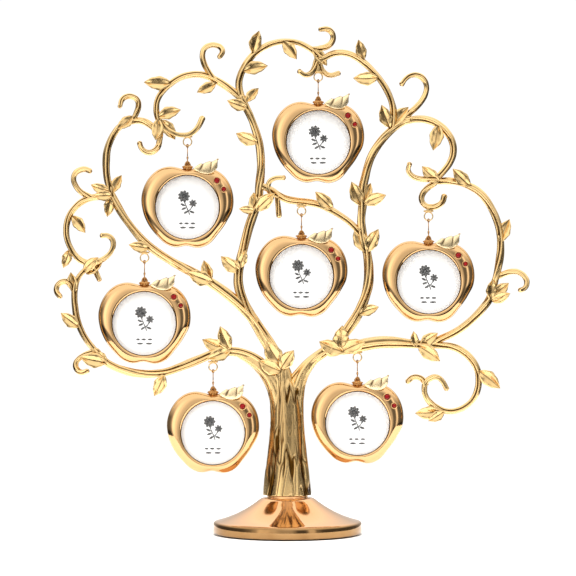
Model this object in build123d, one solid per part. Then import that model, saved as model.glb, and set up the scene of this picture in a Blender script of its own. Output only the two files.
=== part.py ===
from build123d import *
import math
import os

os.makedirs("parts", exist_ok=True)

# Photo tree stand: a cast metal tree on a round foot, with seven apple photo frames
# that hang from rings under its branches. Millimetres, +Z up, the front faces -Y.
# The origin is the middle of the felt pad's underside.

# Height of the whole tree, and the pixels of the photograph that it fills
tree_height = 240.0
tree_height_pixels = 506.0
middle_pixel = 287.5
ground_pixel = 534.0
pixel = tree_height / tree_height_pixels

# Branch widths
stout_width = 6.6
main_width = 4.6
limb_width = 4.0
slim_width = 3.4
vine_width = 2.9
thin_width = 2.5
tendril_width = 2.1
tip_width = 1.6
short_lean = 2.0
long_lean = 3.0
branch_sides = 8

# Leaves: blade thickness, depth of the crease along the midrib, and lean of the tip
leaf_thickness = 1.0
leaf_crease = 0.9
leaf_width_share = 0.5
leaf_belly_share = 0.42
leaf_lean_degrees = 14.0

# Hanging rings cast under the branches
ring_radius = 2.0
ring_wire = 0.58
lug_width = 2.0
lug_depth = 1.8
crossbar_width = 4.6
crossbar_height = 1.1

# Wire link between a ring and its frame
link_wire = 0.56
eye_gap = 0.17
eye_length = 2.75
eye_foot_radius = 0.42
link_drop = 8.3

# Apple frame
apple_width = 43.6
apple_width_pixels = 92.0
apple_drop = 31.1
apple_front = 3.3
apple_back = 2.6
window_opening = 15.0
window_rim = 16.9
bevel_depth = 1.1
bevel_width = 1.3
lens_radius = 16.0
lens_thickness = 1.0
lens_front = 1.4
card_thickness = 0.3
lens_clearance = 0.1
bail_thickness = 0.6
bail_bar = 0.56
bail_base_width = 5.2
bail_slot = 1.0
apple_leaf_thickness = 1.2
big_gem_radius = 1.35
small_gem_radius = 1.05
gem_height = 1.9
gem_seat = 1.9
gem_clearance = 0.04
bezel_wall = 0.42
bezel_height = 3.2
bezel_root = 1.2

# Back plate that presses in behind the photo card
back_plate_thickness = 0.8
back_plate_clearance = 0.3
pull_tab_width = 6.0
pull_tab_height = 1.6
pull_tab_depth = 1.4
pull_tab_drop = 9.0

# Round foot
foot_radius = 35.3
rim_height = 5.0
rim_rounding = 0.9
foot_lift = 0.5
neck_radius = 8.8
neck_bottom = 16.4
neck_top = 18.4
felt_radius = 33.4
felt_thickness = 1.5
felt_clearance = 0.2

# Fixing screw from below
screw_radius = 2.5
screw_length = 22.0
screw_head_radius = 4.6
screw_head_height = 2.8
screw_seat = 10.5
screw_clearance = 0.3
thread_clearance = 0.05
head_clearance = 0.9
driver_slot_width = 1.2
driver_slot_depth = 1.3

# Cuts run past a surface by this much
overrun = 1.0
smallest_piece = 5.0

# Ring centres in the photograph, in the order of the frames
ring_pixels = [
    (187.5, 141.8), (144.5, 257.8), (318.2, 77.0), (301.5, 211.0),
    (428.5, 216.3), (213.1, 367.0), (357.4, 357.5),
]
# Point of the branch that each ring's lug reaches up to
lug_pixels = [
    (187.5, 135.0), (144.5, 243.5), (318.2, 56.0), (301.5, 201.5),
    (428.5, 207.0), (213.1, 354.0), (357.4, 347.0),
]

# Centre lines of the branches, read from the photograph
left_lower_pixels = [
    (275, 377), (265, 365), (255, 358), (243, 353), (232, 351), (222, 352), (212, 354), (200, 359),
    (190, 363), (180, 367), (168, 372), (155, 374), (140, 374), (125, 371), (112, 366), (104, 361),
    (97, 352),
]
left_outer_pixels = [
    (101, 357), (92, 347), (87, 341), (81, 331), (77, 320), (75, 308), (74, 297), (75, 287),
    (77, 279), (82, 272), (88, 268), (95, 263),
]
left_outer_tendril_pixels = [
    (74, 291), (70, 282), (64, 281), (59, 283), (56, 288), (57, 293), (60, 296),
]
left_foot_tendril_pixels = [
    (96, 350), (90, 353), (84, 355), (78, 359), (75, 364), (77, 370), (82, 373), (87, 371),
]
left_loop_pixels = [
    (112, 195), (100, 197), (90, 197.5), (82, 201), (75, 207), (70, 214), (67, 222), (66, 231),
    (67, 240), (71, 249), (76, 257), (83, 262), (91, 264), (100, 261), (107, 257), (112, 251),
    (114, 244), (112, 238), (107, 235), (103, 235.5),
]
left_loop_tendril_pixels = [
    (93, 198), (88, 196), (80, 192), (75, 185), (73, 179), (75, 173), (80, 170), (86, 169), (90, 171),
]
knot_stub_pixels = [(92, 266), (95, 270), (97, 275), (99, 279)]
left_diagonal_pixels = [
    (287, 374), (277, 357), (270, 346), (263, 335), (257, 325), (250, 315), (243, 308), (235, 300),
    (225, 292), (215, 285), (207, 280), (200, 276), (190, 271), (180, 266), (168, 259), (155, 251),
    (145, 243), (137, 234), (129, 224), (122, 214), (117, 205), (112, 195),
]
left_upper_pixels = [
    (113, 199), (109, 185), (107, 178), (106, 170), (106, 160), (107, 150), (110, 141), (115, 132),
    (119, 127), (125, 124), (131, 121.5), (138, 120), (145, 121.5), (150, 124.5), (156, 130),
]
left_upper_tendril_pixels = [
    (132, 122), (137, 112), (139, 106), (138, 100), (134, 97), (128, 96), (122, 99), (120.5, 106),
]
left_centre_pixels = [
    (241, 303), (238, 285), (238, 275), (240, 262), (243, 250), (246, 238), (249, 227), (252, 218),
    (255, 210), (259, 200), (259, 190), (260, 180), (261, 170), (261, 160), (260, 148), (258, 138),
    (254, 125), (250, 115), (245, 106), (242, 98),
]
top_left_pixels = [
    (244, 101), (235, 93), (226, 86), (216, 80), (208, 76), (200, 74), (190, 74.5), (180, 77),
    (170, 83.5), (162, 91.5), (157, 100), (156, 108), (157, 115), (159, 121), (165, 128),
    (174, 134), (184, 135.5), (190, 134.5), (195, 131), (199, 126), (202, 119),
]
top_left_side_pixels = [(159, 118), (161, 130), (159, 143)]
top_left_curl_pixels = [
    (160, 138), (159, 146), (155, 151), (150, 153), (145, 152), (141, 148), (140, 144),
]
top_left_tendril_pixels = [
    (215, 80), (207, 70), (203, 62), (202, 54), (204, 48), (210, 45), (216, 45), (222, 48),
    (223, 53), (220, 57),
]
top_centre_pixels = [
    (242, 99), (238, 85), (240, 76), (244, 67), (250, 58), (257, 51), (265, 46), (275, 42),
    (287, 41), (298, 42), (306, 46), (313, 50), (321, 57),
]
top_centre_tendril_pixels = [
    (312, 49), (320, 48.5), (327, 47), (332, 43), (334, 37), (331, 31), (326, 29), (321, 30),
]
top_centre_left_curl_pixels = [(318, 56), (316, 62), (315, 68), (311, 74), (305, 76), (300, 72)]
top_centre_right_curl_pixels = [(319, 58), (320, 66), (324, 73), (330, 76), (338, 73)]
top_right_pixels = [
    (318, 62), (325, 57.5), (331, 54), (337, 52.5), (345, 52.5), (355, 56), (365, 63), (374, 72),
    (382, 82), (388, 92), (392, 102), (394, 112), (393, 128),
]
centre_arch_pixels = [
    (262, 186), (272, 190), (278, 195), (285, 199), (295, 201), (307, 202), (318, 204), (330, 209),
    (340, 215), (350, 222), (357, 229), (363, 237),
]
centre_arch_tendril_pixels = [(278, 196), (273, 195), (268, 190), (268, 183), (273, 178), (283, 178)]
centre_arch_stub_pixels = [(277, 196), (278, 205), (279, 215)]
right_centre_pixels = [
    (290, 382), (303, 368), (312, 360), (322, 353), (332, 347), (340, 340), (345, 333), (351, 325),
    (357, 316), (362, 306), (366, 295), (369, 283), (369, 270), (368, 258), (366, 248), (363, 240),
    (362, 230), (361, 220), (362, 210), (363, 203), (362, 190), (365, 178), (368, 165), (373, 152),
    (380, 142), (388, 133), (397, 125), (408, 119.5),
]
right_upper_pixels = [
    (404, 121.5), (418, 118), (430, 120), (440, 125), (448, 133), (453, 142), (454, 152), (451, 162),
    (445, 170), (437, 178),
]
right_upper_tendril_pixels = [
    (404, 122), (409, 113), (416, 108), (422, 101), (426, 93), (427, 86), (424, 79), (418, 75),
    (411, 75), (405, 79), (402, 84),
]
right_middle_tendril_pixels = [
    (441, 178), (434, 179), (426, 179.5), (418, 179), (411, 176), (407, 170), (409, 165),
]
right_outer_pixels = [
    (436, 182), (440, 181), (450, 180.5), (460, 182), (470, 186), (480, 192), (486, 199), (492, 209),
    (497, 220), (500, 232), (501, 245), (500, 258), (498, 270), (495, 280), (490, 300), (482, 309),
    (473, 319), (463, 327), (452, 334), (440, 339), (428, 345),
]
right_hook_pixels = [
    (438, 180), (435, 183), (427, 188), (422, 194), (421, 201), (425, 206), (431, 207.5),
    (438, 206), (443, 202), (444, 197),
]
right_outer_tendril_pixels = [
    (497, 277), (505, 273), (512, 271), (520, 272), (526, 278), (527, 284), (524, 289), (520, 290),
]
right_lower_pixels = [
    (334, 349), (344, 351), (355, 348), (365, 345), (380, 343), (395, 343), (408, 344), (428, 345),
]
right_scroll_pixels = [
    (428, 345), (440, 345), (452, 346), (463, 351), (472, 359), (478, 369), (479, 380), (478, 390),
    (474, 399), (467, 406), (457, 411), (447, 412), (438, 409), (430, 403), (425, 396), (424, 388),
    (425, 382), (430, 378), (437, 376), (443, 381), (446, 388),
]
right_scroll_tip_pixels = [(426, 386), (424, 380), (418, 376.5), (412, 377), (408, 381)]

# Leaves as pairs of base and tip
left_lower_leaf_pixels = [
    ((107, 362), (80, 357)), ((164, 374), (154, 396)), ((230, 350), (220, 326)),
    ((226, 350), (202, 339)), ((231, 349), (207, 359)), ((98, 352), (107, 362)),
]
left_outer_leaf_pixels = [((80, 327), (61, 313)), ((75, 292), (71, 272))]
left_loop_leaf_pixels = [
    ((72, 216), (86, 233)), ((69, 250), (63, 268)), ((84, 271), (99, 257)), ((86, 274), (103, 262)),
]
left_diagonal_leaf_pixels = [
    ((150, 248), (129, 245)), ((211, 281), (204, 260)), ((213, 282), (187, 272)),
    ((112, 193), (122, 175)), ((110, 192), (91, 185)), ((110, 197), (107, 217)),
    ((113, 195), (93, 196)), ((281, 368), (259, 360)), ((283, 369), (292, 349)),
]
left_upper_leaf_pixels = [((133, 116), (117, 130))]
left_centre_leaf_pixels = [
    ((240, 268), (246, 250)), ((240, 272), (221, 256)), ((255, 210), (239, 209)), ((255, 212), (254, 192)),
    ((256, 211), (275, 193)), ((258, 143), (236, 133)), ((248, 108), (227, 101)),
    ((246, 102), (259, 88)),
]
top_left_leaf_pixels = [
    ((171, 83), (144, 83)), ((158, 117), (181, 110)), ((158, 119), (156, 141)),
    ((161, 120), (175, 140)), ((216, 83), (197, 93)),
]
top_centre_leaf_pixels = [
    ((253, 54), (259, 31)), ((243, 71), (268, 66)), ((283, 42), (297, 60)), ((313, 50), (327, 66)),
]
top_right_leaf_pixels = [
    ((364, 60), (358, 40)), ((378, 78), (353, 78)), ((390, 128), (381, 105)), ((391, 127), (409, 107)),
]
centre_arch_leaf_pixels = [((333, 209), (315, 192))]
right_centre_leaf_pixels = [
    ((362, 206), (351, 182)), ((363, 205), (371, 183)), ((364, 204), (386, 195)),
    ((366, 252), (356, 226)), ((367, 252), (378, 229)), ((359, 314), (379, 307)),
    ((341, 350), (342, 325)), ((343, 352), (319, 341)), ((343, 351), (365, 341)),
]
right_upper_leaf_pixels = [((438, 125), (433, 151))]
right_outer_leaf_pixels = [
    ((439, 182), (422, 166)), ((470, 186), (452, 169)), ((500, 242), (510, 219)),
    ((491, 300), (492, 279)), ((491, 300), (509, 283)), ((492, 302), (510, 293)),
]
right_lower_leaf_pixels = [
    ((416, 347), (413, 331)), ((420, 347), (438, 333)), ((418, 346), (440, 361)),
]
right_scroll_leaf_pixels = [
    ((478, 371), (500, 388)), ((441, 411), (415, 413)), ((444, 411), (428, 421)),
]

# Trunk: height pixel, middle pixel and half width in pixels, from the foot up
trunk_pixels = [
    (495, 287, 24), (488, 287, 22), (480, 287, 21), (468, 287, 19.5), (455, 287, 18.2),
    (440, 287, 17), (420, 287, 16), (402, 286.5, 16.4), (390, 286.5, 18.5), (380, 286.5, 21),
    (373, 286, 19), (368, 286, 13),
]
trunk_depth_share = 0.82

# Outline of the apple round the middle of its window, and its leaf and gems
apple_outline_pixels = [
    (0, 37.5), (-8, 39.5), (-18, 41), (-29, 38), (-39, 29), (-46, 12), (-45, -3), (-40, -16),
    (-31, -28), (-21, -37), (-12, -40), (-1, -38.5), (11, -40.5), (21, -37), (31, -26), (40, -13),
    (45, -3), (46, 10), (42, 24), (34, 34), (24, 39), (11, 40),
]
apple_leaf_pixels = ((7, 35), (30, 47.5))
big_gem_pixels = (29.5, 26.5)
small_gem_pixels = (36.5, 17.8)
apple_pixel = apple_width / apple_width_pixels

# Depth sections of the apple as shares of front or back, and how far each has drawn in
apple_section_shares = [(1.0, 0.22), (0.35, 0.0), (-0.2, 0.03), (-0.62, 0.3), (-0.88, 0.66), (-1.0, 1.0)]

# Rounded tips of the branches: distance and width as shares of the tip's radius
tip_shares = [(0.5, 0.86), (0.88, 0.48)]

# Foot profile between the rim and the neck, as shares of the foot's radius and neck height
foot_profile_shares = [
    (0.985, 0.345), (0.9, 0.425), (0.773, 0.513), (0.637, 0.64), (0.504, 0.785), (0.37, 0.885), (0.285, 0.94),
]


def place(point, depth=0):
    """Point of the photograph as a point of the tree."""
    return Vector((point[0] - middle_pixel) * pixel, depth, (ground_pixel - point[1]) * pixel)


def width_at(widths, share):
    """Width at a share of the length, between the widths given."""
    step = share * (len(widths) - 1)
    low = min(int(step), len(widths) - 2)
    return widths[low] + (widths[low + 1] - widths[low]) * (step - low)


def branch(points, widths, lean=0):
    """Tapering ridged branch along a centre line; its end may lean out of the tree's plane."""
    last = len(points) - 1
    line = [place(point, -lean * (index / last) ** 2) for index, point in enumerate(points)]
    sections = []
    for index, centre in enumerate(line):
        along = line[min(index + 1, last)] - line[max(index - 1, 0)]
        radius = width_at(widths, index / last) / 2
        sections.append(branch_section(centre, along, radius))
    along = (line[last] - line[last - 1]).normalized()
    radius = widths[-1] / 2
    for distance_share, radius_share in tip_shares:
        centre = line[last] + along * (radius * distance_share)
        sections.append(branch_section(centre, along, radius * radius_share))
    return loft(sections, ruled=True)


def branch_section(centre, along, radius):
    """Section of a branch, square to its centre line."""
    across = along.cross(Vector(0, 1, 0)).normalized()
    plane = Plane(origin=centre, x_dir=across, z_dir=along.normalized())
    return plane * RegularPolygon(radius, branch_sides)


def leaf(length, width, thickness):
    """Creased leaf that lies along +X with its face towards +Z."""
    belly = length * leaf_belly_share
    upper = ThreePointArc((0, 0), (belly, width / 2), (length, 0))
    lower = ThreePointArc((length, 0), (belly, -width / 2), (0, 0))
    blade = extrude(make_face([upper, lower]), leaf_crease + overrun)
    blade = blade + extrude(make_face([upper, lower]), -thickness - overrun)
    half = width / 2 + overrun
    rise = leaf_crease * half / (width / 2)
    fold = Polyline(
        (0, 0), (half, rise), (half, rise - thickness),
        (0, -thickness), (-half, rise - thickness), (-half, rise), close=True,
    )
    return blade & extrude(Plane.YZ * make_face(fold), length)


def tree_leaf(base_pixel, tip_pixel, lean_degrees):
    """Leaf between two points of the photograph."""
    base = place(base_pixel)
    along = place(tip_pixel) - base
    blade = leaf(along.length, along.length * leaf_width_share, leaf_thickness)
    facing = Plane(origin=base, x_dir=along.normalized(), z_dir=Vector(0, -1, 0))
    return facing * Pos(0, 0, leaf_thickness / 2) * Rot(0, -lean_degrees, 0) * blade


def hanging_ring(number):
    """Ring with the crossbar and the lug that join it to its branch."""
    centre = place(ring_pixels[number])
    top = place(lug_pixels[number])
    ring = Pos(*centre) * Rot(90, 0, 0) * Torus(ring_radius, ring_wire / 2)
    bar_height = centre.Z + ring_radius + crossbar_height / 2
    bar = Pos(centre.X, 0, bar_height) * Box(crossbar_width, lug_depth, crossbar_height)
    lug_height = top.Z - bar_height
    lug = Pos(centre.X, 0, bar_height + lug_height / 2) * Box(lug_width, lug_depth, lug_height)
    return ring + bar + lug


def casting(branches, leaves=(), rings=()):
    """Branches, leaves and rings cast in one piece."""
    extras = list(branches[1:])
    for index, (base_pixel, tip_pixel) in enumerate(leaves):
        lean = leaf_lean_degrees if index % 2 == 0 else -leaf_lean_degrees
        extras.append(tree_leaf(base_pixel, tip_pixel, lean))
    for number in rings:
        extras.append(hanging_ring(number))
    return branches[0].fuse(*extras)


def trunk():
    """Trunk that flares into the foot's neck and widens into the fork."""
    sections = []
    for height_pixel, middle, half_width in trunk_pixels:
        centre = place((middle, height_pixel))
        radius = half_width * pixel
        sections.append(Plane(origin=(centre.X, 0, centre.Z)) * Ellipse(radius, radius * trunk_depth_share))
    solid = loft(sections)
    solid = solid - Pos(0, 0, neck_top - overrun) * Cylinder(
        foot_radius, overrun * 2, align=(Align.CENTER, Align.CENTER, Align.CENTER))
    bore_top = screw_seat + screw_length + overrun
    bore = Cylinder(screw_radius + thread_clearance, bore_top, align=(Align.CENTER, Align.CENTER, Align.MIN))
    return solid - bore


def tree_castings():
    """Every casting of the tree, in the order in which they are joined."""
    return {
        "trunk": trunk(),
        "left_diagonal_limb": casting(
            [branch(left_diagonal_pixels, (stout_width, main_width, limb_width, slim_width))],
            left_diagonal_leaf_pixels, (1,)),
        "right_centre_limb": casting(
            [branch(right_centre_pixels, (main_width, main_width, limb_width, slim_width)),
             branch(right_upper_tendril_pixels, (tendril_width, tip_width), long_lean)],
            right_centre_leaf_pixels),
        "left_lower_limb": casting(
            [branch(left_lower_pixels, (main_width, limb_width, slim_width))],
            left_lower_leaf_pixels, (5,)),
        "right_lower_limb": casting(
            [branch(right_lower_pixels, (main_width, limb_width, slim_width))],
            right_lower_leaf_pixels, (6,)),
        "left_centre_limb": casting(
            [branch(left_centre_pixels, (main_width, limb_width, slim_width))],
            left_centre_leaf_pixels),
        "centre_arch": casting(
            [branch(centre_arch_pixels, (slim_width, vine_width)),
             branch(centre_arch_tendril_pixels, (tendril_width, tip_width), short_lean),
             branch(centre_arch_stub_pixels, (tendril_width, tip_width))],
            centre_arch_leaf_pixels, (3,)),
        "left_upper_vine": casting(
            [branch(left_upper_pixels, (slim_width, vine_width)),
             branch(left_upper_tendril_pixels, (tendril_width, tip_width), long_lean)],
            left_upper_leaf_pixels),
        "left_loop_vine": casting(
            [branch(left_loop_pixels, (vine_width, thin_width, tendril_width)),
             branch(left_loop_tendril_pixels, (tendril_width, tip_width), long_lean),
             branch(knot_stub_pixels, (tendril_width, tip_width))],
            left_loop_leaf_pixels),
        "left_outer_vine": casting(
            [branch(left_outer_pixels, (vine_width, thin_width)),
             branch(left_outer_tendril_pixels, (tendril_width, tip_width), short_lean),
             branch(left_foot_tendril_pixels, (tendril_width, tip_width), long_lean)],
            left_outer_leaf_pixels),
        "top_left_vine": casting(
            [branch(top_left_pixels, (slim_width, vine_width, thin_width, tendril_width)),
             branch(top_left_tendril_pixels, (tendril_width, tip_width), long_lean),
             branch(top_left_side_pixels, (tendril_width, tendril_width)),
             branch(top_left_curl_pixels, (tendril_width, tip_width), short_lean)],
            top_left_leaf_pixels, (0,)),
        "top_centre_vine": casting(
            [branch(top_centre_pixels, (slim_width, vine_width, thin_width)),
             branch(top_centre_tendril_pixels, (tendril_width, tip_width), long_lean),
             branch(top_centre_left_curl_pixels, (tendril_width, tip_width), short_lean),
             branch(top_centre_right_curl_pixels, (tendril_width, tip_width), -short_lean)],
            top_centre_leaf_pixels, (2,)),
        "top_right_vine": casting(
            [branch(top_right_pixels, (thin_width, vine_width, slim_width))],
            top_right_leaf_pixels),
        "right_outer_vine": casting(
            [branch(right_upper_pixels, (slim_width, vine_width)),
             branch(right_outer_pixels, (vine_width, slim_width, slim_width)),
             branch(right_hook_pixels, (tendril_width, tendril_width)),
             branch(right_middle_tendril_pixels, (tendril_width, tip_width), long_lean),
             branch(right_outer_tendril_pixels, (tendril_width, tip_width), long_lean)],
            right_upper_leaf_pixels + right_outer_leaf_pixels, (4,)),
        "right_scroll": casting(
            [branch(right_scroll_pixels, (slim_width, vine_width, thin_width, tendril_width)),
             branch(right_scroll_tip_pixels, (tendril_width, tip_width), short_lean)],
            right_scroll_leaf_pixels),
    }


def fitted(pieces):
    """Each casting cut back to those that it is joined to, so that none overlap."""
    done = {}
    for name, piece in pieces.items():
        box = piece.bounding_box()
        joined_to = [other for other in done.values() if box.overlaps(other.bounding_box())]
        if joined_to:
            piece = piece.cut(*joined_to)
        done[name] = Compound([solid for solid in piece.solids() if solid.volume > smallest_piece])
    return done


def pedestal():
    """Weighted round foot with a sloping top, a neck, and room for the screw's head."""
    outline = [(0, foot_lift), (foot_radius - rim_rounding, foot_lift), (foot_radius, foot_lift + rim_rounding)]
    outline += [(foot_radius, rim_height), (foot_radius - rim_rounding, rim_height + rim_rounding)]
    profile = [(foot_radius * x, neck_top * z) for x, z in foot_profile_shares]
    start = Polyline(*outline, profile[0])
    curve = Spline(*profile)
    end = Polyline(
        profile[-1], (neck_radius, neck_bottom + (neck_top - neck_bottom) / 2),
        (neck_radius, neck_top), (0, neck_top), (0, foot_lift))
    solid = revolve(Plane.XZ * make_face([*start.edges(), curve, *end.edges()]), Axis.Z)
    recess = Cylinder(
        felt_radius + felt_clearance, felt_thickness, align=(Align.CENTER, Align.CENTER, Align.MIN))
    head_room = Cylinder(
        screw_head_radius + head_clearance, screw_seat, align=(Align.CENTER, Align.CENTER, Align.MIN))
    hole = Cylinder(screw_radius + screw_clearance, neck_top + overrun, align=(Align.CENTER, Align.CENTER, Align.MIN))
    return solid - recess - head_room - hole


def felt_pad():
    """Felt disc glued into the recess under the foot."""
    return Cylinder(felt_radius, felt_thickness, align=(Align.CENTER, Align.CENTER, Align.MIN))


def fixing_screw():
    """Slotted screw that pulls the trunk down on to the foot."""
    head = Pos(0, 0, screw_seat - screw_head_height) * Cylinder(
        screw_head_radius, screw_head_height, align=(Align.CENTER, Align.CENTER, Align.MIN))
    shank = Pos(0, 0, screw_seat) * Cylinder(
        screw_radius, screw_length, align=(Align.CENTER, Align.CENTER, Align.MIN))
    slot = Pos(0, 0, screw_seat - screw_head_height) * Box(
        screw_head_radius * 2, driver_slot_width, driver_slot_depth * 2)
    return head + shank - slot


# A frame is drawn with its ring's centre at the origin. The link turns on the ring's lowest
# wire, and the frame turns on the lowest wire of the link.
eye_radius = (ring_wire + link_wire) / 2 + eye_gap
link_pivot = -ring_radius
lower_eye_centre = link_pivot - link_drop + eye_radius
frame_pivot = lower_eye_centre - eye_radius
bail_radius = (link_wire + bail_bar) / 2 + eye_gap


def eye_path(centre_height, direction):
    """Pear-shaped loop in the YZ plane; its foot points down for 1 and up for -1."""
    span = eye_length - eye_radius - eye_foot_radius
    tilt = math.degrees(math.asin((eye_radius - eye_foot_radius) / span))
    turn = 180 - 2 * tilt
    big = CenterArc((0, 0), eye_radius, tilt, turn)
    small = CenterArc((0, -span), eye_foot_radius, 180 - tilt, 360 - turn)
    loop = Wire([big, Line(big @ 1, small @ 0), small, Line(small @ 1, big @ 0)])
    if direction < 0:
        loop = loop.rotate(Axis.Z, 180)
    return Plane(origin=(0, 0, centre_height), x_dir=(0, 1, 0), z_dir=(1, 0, 0)) * loop


def wire_loop(path):
    """Round wire bent along a closed path."""
    start = Plane(origin=path @ 0, z_dir=path % 0)
    return sweep(start * Circle(link_wire / 2), path)


def link():
    """Wire link with an eye at each end."""
    span = eye_length - eye_radius - eye_foot_radius
    upper_foot = link_pivot - span - eye_foot_radius
    lower_foot = lower_eye_centre + span + eye_foot_radius
    shank_length = upper_foot - lower_foot
    shank = Pos(0, 0, (upper_foot + lower_foot) / 2) * Cylinder(link_wire / 2, shank_length)
    return wire_loop(eye_path(link_pivot, 1)) + wire_loop(eye_path(lower_eye_centre, -1)) + shank


def apple_section(depth, drawn_in):
    """Outline of the apple at one depth, drawn in towards the window's round rim."""
    points = []
    for right, up in apple_outline_pixels:
        radius = math.hypot(right, up) * apple_pixel
        narrowed = radius + (window_rim - radius) * drawn_in
        scale = narrowed / radius * apple_pixel
        points.append((right * scale, depth, up * scale - apple_drop))
    return make_face(Spline(*points, periodic=True))


def round_bar(radius, front, back):
    """Cylinder round the window's axis, from one depth to another."""
    middle = (front + back) / 2
    return Pos(0, middle, -apple_drop) * Rot(90, 0, 0) * Cylinder(radius, abs(back - front))


def apple_place(point, depth):
    """Point of the apple given in pixels from the middle of its window."""
    return Vector(point[0] * apple_pixel, depth, point[1] * apple_pixel - apple_drop)


def upright(point, radius, front, back):
    """Small cylinder that faces forwards on the apple."""
    centre = apple_place(point, (front + back) / 2)
    return Pos(*centre) * Rot(90, 0, 0) * Cylinder(radius, abs(back - front))


def bail():
    """Flat triangular loop on top of the apple, round the link's lowest wire."""
    outer = bail_radius + bail_bar / 2
    inner = bail_radius - bail_bar / 2
    base = -apple_drop + window_rim
    sides = Polyline(
        (-outer, frame_pivot), (outer, frame_pivot), (bail_base_width / 2, base),
        (-bail_base_width / 2, base), close=True)
    plate = make_face(sides) + Pos(0, frame_pivot) * Circle(outer)
    slot = Pos(0, frame_pivot - bail_slot / 2) * Rectangle(inner * 2, bail_slot)
    slot = slot + Pos(0, frame_pivot) * Circle(inner) + Pos(0, frame_pivot - bail_slot) * Circle(inner)
    return extrude(Plane.XZ * (plate - slot), bail_thickness / 2, both=True)


def apple_shell():
    """Domed apple casting with its window, rear pocket, leaf, bail and gem seats."""
    sections = []
    for depth_share, drawn_in in apple_section_shares:
        reach = apple_back if depth_share > 0 else apple_front
        sections.append(apple_section(depth_share * reach, drawn_in))
    shell = loft(sections)
    for point, radius in ((big_gem_pixels, big_gem_radius), (small_gem_pixels, small_gem_radius)):
        shell = shell + upright(point, radius + bezel_wall, -bezel_height, -bezel_root)
    base = apple_place(apple_leaf_pixels[0], -apple_leaf_thickness)
    along = apple_place(apple_leaf_pixels[1], -apple_leaf_thickness) - base
    blade = leaf(along.length, along.length * leaf_width_share, apple_leaf_thickness)
    shell = shell + Plane(origin=base, x_dir=along.normalized(), z_dir=Vector(0, -1, 0)) * blade
    shell = shell + bail()
    shell = shell - round_bar(window_opening, -apple_front - overrun, apple_back + overrun)
    shell = shell - round_bar(lens_radius + lens_clearance, -lens_front, apple_back + overrun)
    bevel_centre = -apple_front + bevel_depth / 2
    bevel = Pos(0, bevel_centre, -apple_drop) * Rot(-90, 0, 0) * Cone(
        window_opening + bevel_width, window_opening, bevel_depth)
    shell = shell - bevel
    for point, radius in ((big_gem_pixels, big_gem_radius), (small_gem_pixels, small_gem_radius)):
        shell = shell - upright(point, radius + gem_clearance, -bezel_height - overrun, -gem_seat)
    return shell


def lens():
    """Clear disc behind the window opening."""
    return round_bar(lens_radius, -lens_front, -lens_front + lens_thickness)


def photo_card():
    """Round photo card behind the clear disc."""
    front = -lens_front + lens_thickness
    return round_bar(lens_radius, front, front + card_thickness)


def back_plate():
    """Back plate with a pull tab."""
    front = -lens_front + lens_thickness + card_thickness + back_plate_clearance
    back = front + back_plate_thickness
    plate = round_bar(lens_radius + lens_clearance - back_plate_clearance, front, back)
    tab_centre = (0, back + pull_tab_depth / 2, -apple_drop - pull_tab_drop)
    return plate + Pos(*tab_centre) * Box(pull_tab_width, pull_tab_depth, pull_tab_height)


def gems():
    """Two round gems pressed into their seats."""
    pieces = []
    for point, radius in ((big_gem_pixels, big_gem_radius), (small_gem_pixels, small_gem_radius)):
        girdle = upright(point, radius, -bezel_height, -gem_seat)
        crown_height = gem_height - (bezel_height - gem_seat)
        centre = apple_place(point, -bezel_height - crown_height / 2)
        crown = Pos(*centre) * Rot(90, 0, 0) * Cone(radius, radius / 2, crown_height)
        pieces.append(girdle + crown)
    return Compound(pieces)


def write(shape, name):
    """One file for one sub-part."""
    export_step(shape, f"parts/{name}.step")


for name, shape in fitted(tree_castings()).items():
    write(shape, name)
write(pedestal(), "pedestal")
write(felt_pad(), "felt_pad")
write(fixing_screw(), "fixing_screw")

frame_pieces = {
    "shell": apple_shell(),
    "window": lens(),
    "photo_card": photo_card(),
    "back_plate": back_plate(),
    "gems": gems(),
}
link_piece = link()
for number, ring_pixel in enumerate(ring_pixels, 1):
    hang = Pos(*place(ring_pixel))
    write(hang * link_piece, f"link_{number}")
    for kind, shape in frame_pieces.items():
        write(hang * shape, f"apple_{number}_{kind}")
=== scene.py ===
import math

import bmesh
import bpy
from bpy.props import FloatProperty, FloatVectorProperty, IntProperty, PointerProperty
from bpy.types import Operator, Panel, PropertyGroup
from mathutils import Matrix, Vector, noise
from mathutils.kdtree import KDTree


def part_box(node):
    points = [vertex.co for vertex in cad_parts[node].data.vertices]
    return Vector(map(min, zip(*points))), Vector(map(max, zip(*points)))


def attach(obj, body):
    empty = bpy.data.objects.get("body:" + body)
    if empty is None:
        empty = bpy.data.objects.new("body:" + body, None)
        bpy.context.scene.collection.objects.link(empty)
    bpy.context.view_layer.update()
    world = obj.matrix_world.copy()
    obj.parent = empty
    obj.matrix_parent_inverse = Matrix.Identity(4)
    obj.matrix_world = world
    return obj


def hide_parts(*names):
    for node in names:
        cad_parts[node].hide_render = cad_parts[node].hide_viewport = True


bl_info = {
    "name": "Photo Tree Stand",
    "version": (1, 0, 0),
    "blender": (4, 5, 0),
    "location": "View3D > Sidebar > Photo Tree",
    "description": "Dresses the photo tree stand: gilt branches, apple frames, stones, cards and foot",
    "category": "Object",
}

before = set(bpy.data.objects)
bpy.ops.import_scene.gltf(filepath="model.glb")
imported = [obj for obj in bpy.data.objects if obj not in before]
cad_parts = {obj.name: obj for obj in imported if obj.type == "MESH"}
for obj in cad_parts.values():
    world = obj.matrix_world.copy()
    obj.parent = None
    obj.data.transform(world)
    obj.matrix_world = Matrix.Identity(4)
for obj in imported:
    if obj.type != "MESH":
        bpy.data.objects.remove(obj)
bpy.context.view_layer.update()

MM = 0.001
PHOTO_PIXELS = 576

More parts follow.
